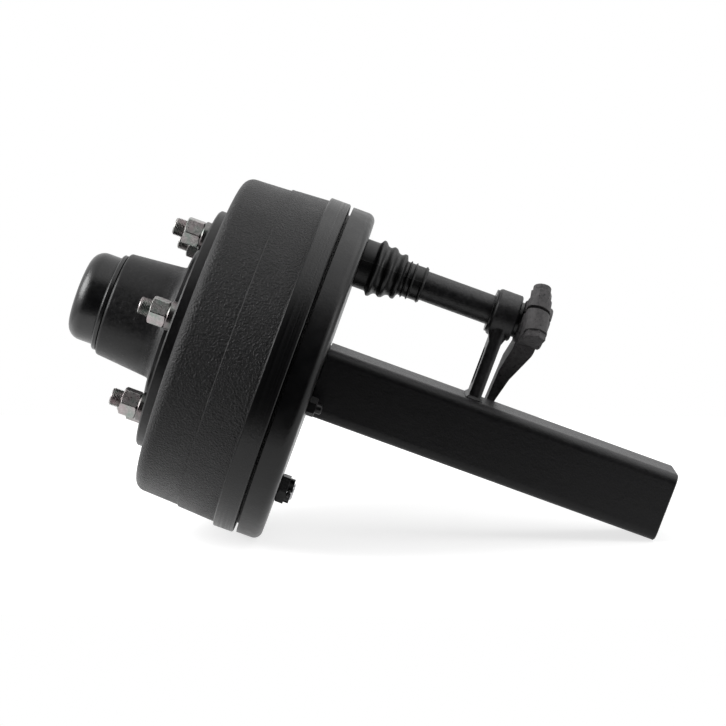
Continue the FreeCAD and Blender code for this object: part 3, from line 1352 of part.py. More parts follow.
doc.recompute()
for item in doc.Objects:
    if "Invalid" in item.State or "Error" in item.State:
        raise RuntimeError("%s failed: %s" % (item.Name, item.State))
os.makedirs("parts", exist_ok=True)
for name, item in nodes.items():
    item.Label = name
    if item.Shape.isNull() or not item.Shape.isValid():
        raise RuntimeError("%s has no sound shape" % name)
    if not item.Shape.Solids:
        raise RuntimeError("%s has no solid" % name)
    item.Shape.exportStep("parts/%s.step" % name)
print("%d nodes" % len(nodes))
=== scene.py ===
import bmesh
import bpy
import json
import math
from mathutils import Euler, Matrix, Vector

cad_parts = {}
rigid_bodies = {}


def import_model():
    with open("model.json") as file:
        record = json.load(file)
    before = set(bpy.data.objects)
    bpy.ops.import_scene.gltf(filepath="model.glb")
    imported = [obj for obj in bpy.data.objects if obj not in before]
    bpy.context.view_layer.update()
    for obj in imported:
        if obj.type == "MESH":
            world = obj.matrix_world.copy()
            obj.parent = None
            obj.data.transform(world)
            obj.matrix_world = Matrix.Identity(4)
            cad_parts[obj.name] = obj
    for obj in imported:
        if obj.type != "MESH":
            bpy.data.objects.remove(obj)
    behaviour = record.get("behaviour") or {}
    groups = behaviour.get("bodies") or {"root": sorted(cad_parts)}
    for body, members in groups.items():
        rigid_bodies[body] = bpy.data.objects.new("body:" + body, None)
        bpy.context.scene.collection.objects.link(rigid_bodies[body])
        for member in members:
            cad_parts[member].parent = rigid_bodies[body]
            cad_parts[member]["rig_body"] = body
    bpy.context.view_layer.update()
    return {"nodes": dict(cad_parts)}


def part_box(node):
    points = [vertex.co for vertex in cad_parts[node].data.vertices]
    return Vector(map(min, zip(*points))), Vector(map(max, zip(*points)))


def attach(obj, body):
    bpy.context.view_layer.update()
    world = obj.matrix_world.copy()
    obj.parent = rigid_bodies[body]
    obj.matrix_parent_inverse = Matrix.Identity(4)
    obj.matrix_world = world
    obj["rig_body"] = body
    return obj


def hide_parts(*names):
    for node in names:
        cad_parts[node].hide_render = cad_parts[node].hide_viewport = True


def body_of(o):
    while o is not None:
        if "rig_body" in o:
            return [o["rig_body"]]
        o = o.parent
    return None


# Looks of a braked stub axle. Sizes are in metres, in the frame of the solids: the spin axis is Y
# with the wheel on the +Y side, and Z is up.
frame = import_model()
nodes = frame["nodes"]
print("frame loaded,", len(nodes), "nodes")


# Node trees. In a look, a noise is its scale, its detail and its roughness, and a rise is the depth
# of a bump in metres and its strength.

class Finish:
    # One material and the few nodes that every finish here is made from.
    def __init__(self, name, roughness, metallic=0.0, specular=0.5):
        self.material = bpy.data.materials.new(name)
        self.material.use_nodes = True
        self.tree = self.material.node_tree
        self.shader = self.tree.nodes["Principled BSDF"]
        self.shader.inputs["Metallic"].default_value = metallic
        self.shader.inputs["Roughness"].default_value = roughness
        self.shader.inputs["Specular IOR Level"].default_value = specular
        self.place = self.tree.nodes.new("ShaderNodeTexCoord").outputs["Object"]
        self.height = None

    def link(self, output, target):
        self.tree.links.new(output, target)
        return output

    def stretched(self, scale):
        mapping = self.tree.nodes.new("ShaderNodeMapping")
        mapping.inputs["Scale"].default_value = scale
        self.link(self.place, mapping.inputs["Vector"])
        return mapping.outputs["Vector"]

    def noise(self, scale, detail=2.0, roughness=0.5, along=None, distortion=0.0):
        node = self.tree.nodes.new("ShaderNodeTexNoise")
        node.inputs["Scale"].default_value = scale
        node.inputs["Detail"].default_value = detail
        node.inputs["Roughness"].default_value = roughness
        node.inputs["Distortion"].default_value = distortion
        self.link(along or self.place, node.inputs["Vector"])
        return node.outputs["Fac"]

    def pebbles(self, scale, smoothness=0.6):
        node = self.tree.nodes.new("ShaderNodeTexVoronoi")
        node.feature = "SMOOTH_F1"
        node.inputs["Scale"].default_value = scale
        node.inputs["Smoothness"].default_value = smoothness
        self.link(self.place, node.inputs["Vector"])
        return node.outputs["Distance"]

    def ranged(self, output, low, high, toLow, toHigh):
        node = self.tree.nodes.new("ShaderNodeMapRange")
        for key, value in (("From Min", low), ("From Max", high), ("To Min", toLow), ("To Max", toHigh)):
            node.inputs[key].default_value = value
        self.link(output, node.inputs["Value"])
        return node.outputs["Result"]

    def blend(self, factor, first, second):
        node = self.tree.nodes.new("ShaderNodeMix")
        node.data_type = "RGBA"
        node.inputs["A"].default_value = (*first, 1)
        node.inputs["B"].default_value = (*second, 1)
        self.link(factor, node.inputs["Factor"])
        return node.outputs["Result"]

    def along(self, axis):
        # The place along one axis of the frame, in metres
        split = self.tree.nodes.new("ShaderNodeSeparateXYZ")
        self.link(self.place, split.inputs["Vector"])
        return split.outputs[axis]

    def band(self, output, start, end, soft):
        # 1 between two places and 0 outside them
        rise = self.ranged(output, start - soft, start + soft, 0.0, 1.0)
        fall = self.ranged(output, end - soft, end + soft, 1.0, 0.0)
        return self.times(rise, fall)

    def mixed(self, factor, first, second):
        node = self.tree.nodes.new("ShaderNodeMix")
        self.link(factor, node.inputs["Factor"])
        self.link(first, node.inputs["A"])
        self.link(second, node.inputs["B"])
        return node.outputs["Result"]

    def tinted(self, factor, first, second):
        node = self.tree.nodes.new("ShaderNodeMix")
        node.data_type = "RGBA"
        self.link(factor, node.inputs["Factor"])
        self.link(first, node.inputs["A"])
        self.link(second, node.inputs["B"])
        return node.outputs["Result"]

    def times(self, first, second):
        node = self.tree.nodes.new("ShaderNodeMath")
        node.operation = "MULTIPLY"
        self.link(first, node.inputs[0])
        self.link(second, node.inputs[1])
        return node.outputs["Value"]

    def added(self, first, second, share):
        node = self.tree.nodes.new("ShaderNodeMath")
        node.operation = "MULTIPLY_ADD"
        node.inputs[1].default_value = share
        self.link(second, node.inputs[0])
        self.link(first, node.inputs[2])
        return node.outputs["Value"]

    def colour(self, factor, first, second):
        self.link(self.blend(factor, first, second), self.shader.inputs["Base Color"])

    def roughened(self, factor, rough, smooth):
        self.link(self.ranged(factor, 0.3, 0.7, rough, smooth), self.shader.inputs["Roughness"])

    def softEdges(self, radius):
        # Rounds the edges' shading, as on a forging or a plated nut
        node = self.tree.nodes.new("ShaderNodeBevel")
        node.samples = 6
        node.inputs["Radius"].default_value = radius
        self.height = node.outputs["Normal"]
        self.link(self.height, self.shader.inputs["Normal"])

    def bump(self, height, depth, strength=1.0):
        node = self.tree.nodes.new("ShaderNodeBump")
        node.inputs["Distance"].default_value = depth
        node.inputs["Strength"].default_value = strength
        self.link(height, node.inputs["Height"])
        if self.height is not None:
            self.link(self.height, node.inputs["Normal"])
        self.height = node.outputs["Normal"]
        self.link(self.height, self.shader.inputs["Normal"])


castLook = {"dark": (0.0018, 0.0017, 0.0020), "pale": (0.008, 0.0078, 0.0084), "fleck": (0.075, 0.074, 0.077),
            "fine": (620.0, 4.0, 0.65), "grit": 496.0, "gritShare": 0.8, "wear": (682.0, 2.0, 0.5),
            "wornFrom": 0.63, "wornTo": 0.74, "pit": (0.0014, 0.7), "specular": 0.3}


def castSkin(finish):
    # The sandy skin of a casting under thin paint: its colour, and how it stands up.
    fine = finish.noise(*castLook["fine"])
    grit = finish.pebbles(castLook["grit"])
    coat = finish.blend(finish.ranged(fine, 0.35, 0.65, 0.0, 1.0), castLook["dark"], castLook["pale"])
    worn = finish.ranged(finish.noise(*castLook["wear"]), castLook["wornFrom"], castLook["wornTo"], 0.0, 1.0)
    flecked = finish.tinted(worn, coat, finish.blend(fine, castLook["pale"], castLook["fleck"]))
    return flecked, finish.added(fine, grit, castLook["gritShare"])


drumLook = {"rim": (-0.1204, -0.0986), "rimDark": (0.0012, 0.0012, 0.0014),
            "rimPale": (0.0045, 0.0044, 0.0048), "ringScale": (3.0, 900.0, 3.0), "ring": (0.00025, 0.6),
            "rimSoft": 0.0003, "patch": (16.0, 3.0), "castRough": (0.38, 0.52), "rimRough": (0.26, 0.4),
            "rimGrain": 0.12, "dent": (0.0010, 0.3)}


def drumPaint():
    # Cast skin all over, but for the rim, which is turned and shows the tool's rings.
    finish = Finish("drum_paint", 0.42, specular=castLook["specular"])
    skin, height = castSkin(finish)
    place = finish.along("Y")
    turned = finish.band(place, *drumLook["rim"], drumLook["rimSoft"])
    rings = finish.noise(1.0, 3.0, 0.6, finish.stretched(drumLook["ringScale"]))
    ringShare = finish.ranged(rings, 0.3, 0.7, 0.0, 1.0)
    turnedCoat = finish.blend(ringShare, drumLook["rimDark"], drumLook["rimPale"])
    finish.link(finish.tinted(turned, skin, turnedCoat), finish.shader.inputs["Base Color"])
    patches = finish.noise(*drumLook["patch"])
    castRough = finish.ranged(patches, 0.3, 0.7, *drumLook["castRough"])
    turnedRough = finish.ranged(rings, 0.3, 0.7, *drumLook["rimRough"])
    finish.link(finish.mixed(turned, castRough, turnedRough), finish.shader.inputs["Roughness"])
    flat = finish.ranged(turned, 0.0, 1.0, 1.0, drumLook["rimGrain"])
    finish.bump(patches, *drumLook["dent"])
    finish.bump(finish.times(height, flat), *castLook["pit"])
    finish.bump(finish.times(rings, turned), *drumLook["ring"])
    return finish.material


hubLook = {"flareFrom": 0.004, "flareTo": 0.021, "dark": (0.0035, 0.0034, 0.0037),
           "pale": (0.009, 0.0088, 0.0093), "flare": (0.026, 0.026, 0.027),
           "soft": 0.003, "skin": (260.0, 4.0, 0.6), "pits": (260.0, 2.0, 0.4), "pitFrom": 0.68, "pitTo": 0.76,
           "grit": (640.0, 3.0, 0.7), "rough": (0.36, 0.48), "skinRise": (0.0005, 0.3),
           "pitRise": (0.0002, 0.6), "gritRise": (0.0007, 0.6), "gritAbove": 0.15}


def hubPaint():
    # Fairly smooth on the barrel, with a few pits, and rougher at its foot, where a paler colour is a painted
    # highlight.
    finish = Finish("hub_paint", 0.4, specular=castLook["specular"])
    skin = finish.noise(*hubLook["skin"])
    pits = finish.ranged(finish.noise(*hubLook["pits"]), hubLook["pitFrom"], hubLook["pitTo"], 0.0, 1.0)
    foot = finish.band(finish.along("Y"), hubLook["flareFrom"], hubLook["flareTo"], hubLook["soft"])
    grit = finish.noise(*hubLook["grit"])
    coat = finish.blend(finish.ranged(skin, 0.35, 0.65, 0.0, 1.0), hubLook["dark"], hubLook["pale"])
    # Painted highlight: the foot of the hub is painted paler, standing in for light from the lamp at the left
    paintedHighlight = finish.blend(finish.ranged(grit, 0.4, 0.62, 0.0, 1.0), hubLook["pale"], hubLook["flare"])
    finish.link(finish.tinted(foot, coat, paintedHighlight), finish.shader.inputs["Base Color"])
    finish.roughened(skin, *hubLook["rough"])
    finish.bump(skin, *hubLook["skinRise"])
    finish.bump(pits, *hubLook["pitRise"])
    gritty = finish.times(grit, finish.ranged(foot, 0.0, 1.0, hubLook["gritAbove"], 1.0))
    finish.bump(gritty, *hubLook["gritRise"])
    return finish.material


beamLook = {"dark": (0.0022, 0.0021, 0.0025), "pale": (0.006, 0.0058, 0.0066),
            "topPale": (0.03, 0.0295, 0.031), "topFrom": 0.030, "topSoft": 0.004,
            "streaks": (60.0, 4.0, 0.6), "streakScale": (1.0, 0.12, 1.0), "mottle": (420.0, 4.0, 0.7),
            "blots": (75.0, 3.0, 0.6), "blotScale": (1.0, 0.4, 1.0), "mottleShare": 0.7, "rough": (0.34, 0.52),
            "streakRise": (0.0008, 0.35), "blotRise": (0.0006, 0.35), "mottleRise": (0.0006, 0.7),
            "specular": 0.26}


def beamPaint():
    # Paint over rolled bar: long faint streaks and a mottled skin, with a painted highlight of paler mottled
    # colour on the upper side.
    finish = Finish("beam_paint", 0.4, specular=beamLook["specular"])
    streaks = finish.noise(*beamLook["streaks"], finish.stretched(beamLook["streakScale"]))
    mottle = finish.noise(*beamLook["mottle"])
    blots = finish.noise(*beamLook["blots"], finish.stretched(beamLook["blotScale"]))
    coat = finish.blend(streaks, beamLook["dark"], beamLook["pale"])
    # Painted highlight: the top face gets a paler, mottled colour, standing in for light falling from above
    paintedTopShare = finish.ranged(finish.added(blots, mottle, beamLook["mottleShare"]), 0.6, 1.0, 0.0, 1.0)
    paintedTopLight = finish.blend(paintedTopShare, beamLook["pale"], beamLook["topPale"])
    topFull = beamLook["topFrom"] + beamLook["topSoft"]
    top = finish.ranged(finish.along("Z"), beamLook["topFrom"], topFull, 0.0, 1.0)
    finish.link(finish.tinted(top, coat, paintedTopLight), finish.shader.inputs["Base Color"])
    finish.roughened(mottle, *beamLook["rough"])
    finish.bump(streaks, *beamLook["streakRise"])
    finish.bump(blots, *beamLook["blotRise"])
    finish.bump(mottle, *beamLook["mottleRise"])
    return finish.material


forgedLook = {"dark": (0.006, 0.0058, 0.0064), "pale": (0.020, 0.0195, 0.0205), "edge": 0.0016,
              "skin": (320.0, 4.0, 0.65), "flow": (140.0, 3.0, 0.6), "flowScale": (1.0, 1.0, 0.25),
              "flowShare": 0.6, "rough": (0.34, 0.5), "flowRise": (0.0009, 0.4), "skinRise": (0.0006, 0.6),
              "specular": 0.35}


def forgedPaint():
    # Paint over a forging: an uneven skin with faint flow lines.
    finish = Finish("forged_paint", 0.4, specular=forgedLook["specular"])
    finish.softEdges(forgedLook["edge"])
    skin = finish.noise(*forgedLook["skin"])
    flow = finish.noise(*forgedLook["flow"], finish.stretched(forgedLook["flowScale"]))
    coat = finish.ranged(finish.added(skin, flow, forgedLook["flowShare"]), 0.6, 1.0, 0.0, 1.0)
    finish.colour(coat, forgedLook["dark"], forgedLook["pale"])
    finish.roughened(skin, *forgedLook["rough"])
    finish.bump(flow, *forgedLook["flowRise"])
    finish.bump(skin, *forgedLook["skinRise"])
    return finish.material


leverLook = {"dark": (0.048, 0.046, 0.047), "pale": (0.115, 0.110, 0.112), "pit": (0.010, 0.010, 0.010),
             "edge": 0.0014, "skin": (230.0, 5.0, 0.7), "pits": (330.0, 2.0, 0.5), "pitFrom": 0.62, "pitTo": 0.7,
             "rough": (0.5, 0.7), "skinRise": (0.0009, 0.6), "dents": (60.0, 2.0), "dentRise": (0.0012, 0.4)}


def leverPaint():
    # The lever is greyer and duller than the rest: a thin coat over a rough forging, with pits.
    finish = Finish("lever_paint", 0.6, specular=0.3)
    finish.softEdges(leverLook["edge"])
    skin = finish.noise(*leverLook["skin"])
    pits = finish.ranged(finish.noise(*leverLook["pits"]), leverLook["pitFrom"], leverLook["pitTo"], 0.0, 1.0)
    coat = finish.blend(finish.ranged(skin, 0.35, 0.65, 0.0, 1.0), leverLook["dark"], leverLook["pale"])
    hollow = finish.blend(skin, leverLook["pit"], leverLook["dark"])
    finish.link(finish.tinted(pits, coat, hollow), finish.shader.inputs["Base Color"])
    finish.roughened(skin, *leverLook["rough"])
    finish.bump(skin, *leverLook["skinRise"])
    finish.bump(finish.noise(*leverLook["dents"]), *leverLook["dentRise"])
    return finish.material


sheetLook = {"dark": (0.0013, 0.0013, 0.0015), "pale": (0.0034, 0.0033, 0.0037),
             "ripple": (90.0, 3.0, 0.55), "fine": (480.0, 3.0, 0.6), "smoother": 0.02, "rougher": 0.07,
             "rippleRise": (0.0006, 0.3), "fineRise": (0.00025, 0.45)}


def sheetPaint(name, roughness, specular):
    # Smooth satin paint on pressed sheet.
    finish = Finish(name, roughness, specular=specular)
    ripple = finish.noise(*sheetLook["ripple"])
    fine = finish.noise(*sheetLook["fine"])
    finish.colour(ripple, sheetLook["dark"], sheetLook["pale"])
    finish.roughened(ripple, roughness - sheetLook["smoother"], roughness + sheetLook["rougher"])
    finish.bump(ripple, *sheetLook["rippleRise"])
    finish.bump(fine, *sheetLook["fineRise"])
    return finish.material


fixingLook = {"dark": (0.0015, 0.0015, 0.0016), "pale": (0.006, 0.006, 0.0064), "edge": 0.0006,
              "skin": (320.0, 3.0, 0.6), "rough": (0.26, 0.42), "skinRise": (0.0005, 0.5)}


def fixingPaint():
    # Small black painted fixings, a little glossier on their worn edges.
    finish = Finish("fixing_paint", 0.36, specular=0.3)
    finish.softEdges(fixingLook["edge"])
    skin = finish.noise(*fixingLook["skin"])
    finish.colour(skin, fixingLook["dark"], fixingLook["pale"])
    finish.roughened(skin, *fixingLook["rough"])
    finish.bump(skin, *fixingLook["skinRise"])
    return finish.material


zincLook = {"cool": (0.24, 0.27, 0.25), "warm": (0.33, 0.285, 0.29), "pale": (0.44, 0.44, 0.43),
            "tint": (95.0, 2.0), "fine": (700.0, 3.0, 0.6), "rub": (330.0, 3.0), "rubFrom": 0.45, "rubTo": 0.7,
            "rubMost": 0.8, "rough": (0.24, 0.4), "fineRise": (0.0002, 0.5), "dents": (160.0, 2.0),
            "dentRise": (0.0004, 0.4)}


def zincPlate(name, shade):
    # Zinc plate with its faint tints of green and pink, rubbed paler in places.
    finish = Finish(name, 0.3, 1.0)
    tint = finish.noise(*zincLook["tint"])
    fine = finish.noise(*zincLook["fine"])
    cool, warm, pale = (tuple(part * shade for part in zincLook[key]) for key in ("cool", "warm", "pale"))
    plate = finish.blend(finish.ranged(tint, 0.35, 0.65, 0.0, 1.0), cool, warm)
    rubbed = finish.blend(fine, warm, pale)
    rub = finish.ranged(finish.noise(*zincLook["rub"]), zincLook["rubFrom"], zincLook["rubTo"], 0.0,
                        zincLook["rubMost"])
    finish.link(finish.tinted(rub, plate, rubbed), finish.shader.inputs["Base Color"])
    finish.roughened(fine, *zincLook["rough"])
    finish.bump(fine, *zincLook["fineRise"])
    finish.bump(finish.noise(*zincLook["dents"]), *zincLook["dentRise"])
    return finish.material


steelLook = {"dark": (0.45, 0.45, 0.46), "pale": (0.6, 0.6, 0.61), "rings": (900.0, 2.0, 0.5),
             "ringScale": (0.06, 1.0, 0.06), "rough": (0.16, 0.3), "ringRise": (0.00008, 0.4)}


def bearingSteel():
    # Ground steel with fine marks round the axis.
    finish = Finish("bearing_steel", 0.22, 1.0)
    rings = finish.noise(*steelLook["rings"], finish.stretched(steelLook["ringScale"]))
    finish.colour(rings, steelLook["dark"], steelLook["pale"])
    finish.roughened(rings, *steelLook["rough"])
    finish.bump(rings, *steelLook["ringRise"])
    return finish.material


bronzeLook = {"dark": (0.40, 0.27, 0.12), "pale": (0.55, 0.38, 0.18), "grain": (500.0, 3.0),
              "rough": (0.28, 0.42), "grainRise": (0.0001, 0.4)}


def bronzeBush():
    # Turned bronze with a fine grain.
    finish = Finish("bronze_bush", 0.35, 1.0)
    grain = finish.noise(*bronzeLook["grain"])
    finish.colour(grain, bronzeLook["dark"], bronzeLook["pale"])
    finish.roughened(grain, *bronzeLook["rough"])
    finish.bump(grain, *bronzeLook["grainRise"])
    return finish.material


rubberLook = {"dark": (0.004, 0.004, 0.0042), "pale": (0.010, 0.010, 0.0102), "bloom": (55.0, 3.0, 0.6),
              "fine": (600.0, 3.0, 0.6), "rough": (0.34, 0.5), "fineRise": (0.00015, 0.4), "specular": 0.32}


def bootRubber():
    # Moulded rubber with a soft sheen and a faint bloom.
    finish = Finish("boot_rubber", 0.42, specular=rubberLook["specular"])
    bloom = finish.noise(*rubberLook["bloom"])
    fine = finish.noise(*rubberLook["fine"])
    finish.colour(bloom, rubberLook["dark"], rubberLook["pale"])
    finish.roughened(bloom, *rubberLook["rough"])
    finish.bump(fine, *rubberLook["fineRise"])
    return finish.material


liningLook = {"dark": (0.10, 0.075, 0.055), "pale": (0.24, 0.19, 0.14), "flecks": (380.0, 5.0, 0.7),
              "fleckRise": (0.0004, 0.6)}


def frictionLining():
    # Pressed friction material with its flecks.
    finish = Finish("friction_lining", 0.8)
    flecks = finish.noise(*liningLook["flecks"])
    finish.colour(finish.ranged(flecks, 0.4, 0.62, 0.0, 1.0), liningLook["dark"], liningLook["pale"])
    finish.bump(flecks, *liningLook["fleckRise"])
    return finish.material


finishes = {
    hubPaint(): ["hub"],
    drumPaint(): ["brake_drum"],
    beamPaint(): ["axle_beam"],
    forgedPaint(): ["brake_flange", "support_bracket", "camshaft", "front_shoe", "rear_shoe"],
    leverPaint(): ["brake_lever", "lever_bolt", "lever_nut"],
    sheetPaint("cover_paint", 0.33, 0.28): ["dust_cover"],
    sheetPaint("cap_paint", 0.3, 0.5): ["hub_cap"],
    fixingPaint(): ["cover_bolts", "cover_nuts", "anchor_nut", "anchor_cotter", "support_bush"],
    zincPlate("zinc_plate", 1.0): ["wheel_studs", "wheel_nuts", "spindle_washer", "spindle_nut",
                                   "spindle_cotter"],
    zincPlate("dull_zinc", 0.5): ["wheel_washers"],
    bearingSteel(): ["outer_bearing_cup", "inner_bearing_cup", "outer_bearing_cone", "inner_bearing_cone",
                     "outer_rollers", "inner_rollers", "outer_cage", "inner_cage", "anchor_pin",
                     "anchor_spacer", "return_spring"],
    bronzeBush(): ["cam_bush"],
    bootRubber(): ["cam_boot", "hub_seal"],
    frictionLining(): ["front_lining", "rear_lining"],
}
for material, names in finishes.items():
    for name in names:
        piece = nodes[name]
        piece.data.materials.clear()
        piece.data.materials.append(material)
print("finishes done")


# Wheel studs with their threads. A thread is a net of points round the rod. Its rows climb by
# one pitch a turn, and lie at the crest and at the root by turns.
studLook = {"count": 6, "firstAngle": 17.7, "circle": 0.1025, "radius": 0.0089, "root": 0.0080,
            "pitch": 0.0015, "threadFrom": 0.020, "bevel": 0.0014, "headRadius": 0.013, "headThick": 0.007,
            "headBevel": 0.001, "steps": 56}


def ringOf(points, radius, place, steps):
    first = len(points)
    for i in range(steps):
        turn = 2 * math.pi * i / steps
        points.append((radius * math.sin(turn), place, radius * math.cos(turn)))
    return first


def skinned(faces, first, second, steps):
    for i in range(steps):
        j = (i + 1) % steps
        faces.append((first + i, first + j, second + j, second + i))


def fixingPlaces():
    for i in range(studLook["count"]):
        turn = math.radians(studLook["firstAngle"] + 360 / studLook["count"] * i)
        yield Vector((-studLook["circle"] * math.sin(turn), 0, studLook["circle"] * math.cos(turn)))


def standIn(name, nodeName, points, faces, centres):
    # One mesh that stands for a node of the solids, with a copy of its shape at each centre
    mesh = bpy.data.meshes.new(name)
    allPoints, allFaces = [], []
    for centre in centres:
        shift = len(allPoints)
        allPoints += [Vector(point) + centre for point in points]
        allFaces += [tuple(shift + index for index in face) for face in faces]
    mesh.from_pydata(allPoints, [], allFaces)
    mesh.validate()
    shape = bmesh.new()
    shape.from_mesh(mesh)
    bmesh.ops.remove_doubles(shape, verts=shape.verts, dist=1e-7)
    bmesh.ops.recalc_face_normals(shape, faces=shape.faces)
    shape.to_mesh(mesh)
    shape.free()
    mesh.materials.append(nodes[nodeName].data.materials[0])
    piece = bpy.data.objects.new(name, mesh)
    bpy.context.scene.collection.objects.link(piece)
    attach(piece, body_of(nodes[nodeName])[0])
    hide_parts(nodeName)
    return piece


def edged(piece, width):
    # A narrow rounded edge, which catches the light
    bevel = piece.modifiers.new("edges", "BEVEL")
    bevel.width = width
    bevel.segments = 2
    bevel.limit_method = "ANGLE"
    bevel.angle_limit = math.radians(18)


def threadRows(points, faces, look, start, end):
    # From the plain shank at start to the bevelled tip at end
    steps, pitch = look["steps"], look["pitch"]
    rows = int((end - start) / pitch * 2) + 4
    last = None
    for row in range(rows):
        first = len(points)
        for i in range(steps):
            turn = 2 * math.pi * i / steps
            place = start + pitch * ((row - 2) / 2 + i / steps)
            depth = look["radius"] if row % 2 else look["root"]
            place = min(max(place, start), end)
            depth = min(depth, look["radius"] - max(0.0, place - (end - look["bevel"])))
            points.append((depth * math.sin(turn), place, depth * math.cos(turn)))
        if last is not None:
            for i in range(steps - 1):
                faces.append((last + i, last + i + 1, first + i + 1, first + i))
            if row + 2 < rows:
                faces.append((last + steps - 1, last + 2 * steps, first + 2 * steps, first + steps - 1))
        last = first


def threadedStuds():
    look = studLook
    low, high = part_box("wheel_studs")
    points, faces = [], []
    steps = look["steps"]
    back, headFront = low.y, low.y + look["headThick"]
    head, bevel, rod = look["headRadius"], look["headBevel"], look["radius"]
    outline = ((head - bevel, back), (head, back + bevel), (head, headFront), (rod, headFront),
               (rod, look["threadFrom"]), (look["root"], look["threadFrom"]))
    rings = [ringOf(points, radius, place, steps) for radius, place in outline]
    for first, second in zip(rings, rings[1:]):
        skinned(faces, first, second, steps)
    faces.append(tuple(reversed(range(rings[0], rings[0] + steps))))
    threadRows(points, faces, look, look["threadFrom"], high.y)
    tip = ringOf(points, look["radius"] - look["bevel"], high.y, steps)
    faces.append(tuple(range(tip, tip + steps)))
    standIn("threaded_studs", "wheel_studs", points, faces, list(fixingPlaces()))


nutLook = {"across": 0.025, "corner": -3.0, "cornerCut": 28.4,
           "columns": (-24, -18, -12, -6, 0, 6, 12, 18, 24), "face": 0.0119,
           "slope": 32.0, "bore": 0.0090, "sink": 0.0099, "edge": 0.00022}


def chamferedNuts():
    # Hexagon nuts with both ends turned down to a cone, which gives the arcs on their sides.
    look = nutLook
    low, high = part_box("wheel_nuts")
    half = look["across"] / 2
    columns = []
    for side in range(6):
        for offset in (-look["cornerCut"], *look["columns"], look["cornerCut"]):
            turn = math.radians(look["corner"] + 30 + 60 * side + offset)
            columns.append((turn, half / math.cos(math.radians(offset))))
    slope = math.tan(math.radians(look["slope"]))
    points, faces, rings = [], [], []

    def ring(radiusOf, placeOf):
        rings.append(len(points))
        for turn, reach in columns:
            radius = radiusOf(reach)
            points.append((-radius * math.cos(turn), placeOf(reach), radius * math.sin(turn)))

    ring(lambda reach: look["bore"], lambda reach: low.y)
    ring(lambda reach: look["face"], lambda reach: low.y)
    ring(lambda reach: reach, lambda reach: low.y + (reach - look["face"]) * slope)
    ring(lambda reach: reach, lambda reach: high.y - (reach - look["face"]) * slope)
    ring(lambda reach: look["face"], lambda reach: high.y)
    ring(lambda reach: look["sink"], lambda reach: high.y)
    ring(lambda reach: look["bore"], lambda reach: high.y - (look["sink"] - look["bore"]))
    for first, second in zip(rings, rings[1:] + rings[:1]):
        skinned(faces, first, second, len(columns))
    edged(standIn("chamfered_nuts", "wheel_nuts", points, faces, list(fixingPlaces())), look["edge"])


bootLook = {"neck": 0.0250, "neckInside": 0.0222, "tube": 0.0154, "waist": 0.0172, "firstFold": 0.252,
            "spacing": 0.185, "folds": 3, "crest": 0.0291, "step": 0.0030, "depth": 0.0031, "sleeve": 0.0173,
            "bands": (0.726, 0.811), "bandRise": 0.0020, "bandWidth": 0.011, "lip": 0.970, "lipRise": 0.0013,
            "lipWidth": 0.017, "rows": 150, "steps": 72, "seamAngles": (12.0, 192.0), "seamRise": 0.00022,
            "seamWidth": 0.0004}


def roundWave(phase):
    # 1 at a crest and 0 in a valley, both broad, with steep flanks between them
    plain = (1 + math.cos(2 * math.pi * phase)) / 2
    return 0.35 * plain + 0.65 * plain * plain * (3 - 2 * plain)


def bootRadius(share):
    # Round folds on a cone: a gentle rise to each crest, then the tube with its two bands and lip
    look = bootLook
    phase = (share - look["firstFold"]) / look["spacing"]
    wave = roundWave(phase)
    last = look["folds"] - 1
    if phase < -0.5:
        return look["neck"]
    if phase < 0:
        return look["neck"] + (look["crest"] - look["neck"]) * roundWave(max(phase * 1.25, -0.5))
    if phase < last:
        return look["crest"] - look["depth"] - look["step"] * phase + look["depth"] * wave
    top = look["crest"] - look["step"] * last
    fall = min((phase - last) * 1.55, 0.5)
    radius = look["sleeve"] + (top - look["sleeve"]) * roundWave(fall)
    for place in look["bands"]:
        radius += look["bandRise"] * math.exp(-((share - place) / look["bandWidth"]) ** 2)
    return radius + look["lipRise"] * math.exp(-((share - look["lip"]) / look["lipWidth"]) ** 4)


def foldedBoot():
    look = bootLook
    low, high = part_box("cam_boot")
    middle = (low + high) / 2
    length = high.y - low.y
    turns = []
    for i in range(look["steps"]):
        turns.append(2 * math.pi * i / look["steps"])
    width = look["seamWidth"] / look["neck"]
    for angle in look["seamAngles"]:
        turns += [math.radians(angle) + width * shift for shift in (-4, -3, -2, -1, 0, 1, 2, 3, 4)]
    turns = sorted(set(turns))

    def seamOf(turn):
        rise = 0.0
        for angle in look["seamAngles"]:
            gap = (turn - math.radians(angle) + math.pi) % (2 * math.pi) - math.pi
            rise += look["seamRise"] * math.exp(-(gap / width) ** 2)
        return rise

    outline = [(i / look["rows"], bootRadius(i / look["rows"]), 1) for i in range(look["rows"] + 1)]
    outline += [(1.0, look["tube"], 0), (0.7, look["tube"], 0), (0.62, look["waist"], 0),
                (0.23, look["waist"], 0), (0.2, look["neckInside"], 0), (0.0, look["neckInside"], 0)]
    points, faces, rings = [], [], []
    for share, radius, outer in outline:
        rings.append(len(points))
        for turn in turns:
            reach = radius + outer * seamOf(turn)
            points.append((-reach * math.cos(turn), high.y - length * share, reach * math.sin(turn)))
    for first, second in zip(rings, rings[1:] + rings[:1]):
        skinned(faces, first, second, len(turns))
    centre = Vector((middle.x, 0, middle.z))
    boot = standIn("folded_boot", "cam_boot", points, faces, [centre])
    for face in boot.data.polygons:
        face.use_smooth = True


threadedStuds()
chamferedNuts()
foldedBoot()
print("studs, nuts and boot done")


# The object lies on the drum's edge and on the end of its beam, so the floor slopes in the
# frame of the solids.
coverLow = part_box("dust_cover")[0]
beamLow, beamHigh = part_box("axle_beam")
coverCorner = 0.009
drumRest = Vector((0, coverLow.y + coverCorner, coverLow.z))
beamRest = Vector((0, beamLow.y, -beamHigh.x))
floorSlope = math.atan2(beamRest.z - drumRest.z, drumRest.y - beamRest.y)
floorUp = Vector((0, math.sin(floorSlope), math.cos(floorSlope)))
floorAlong = Vector((0, math.cos(floorSlope), -math.sin(floorSlope)))

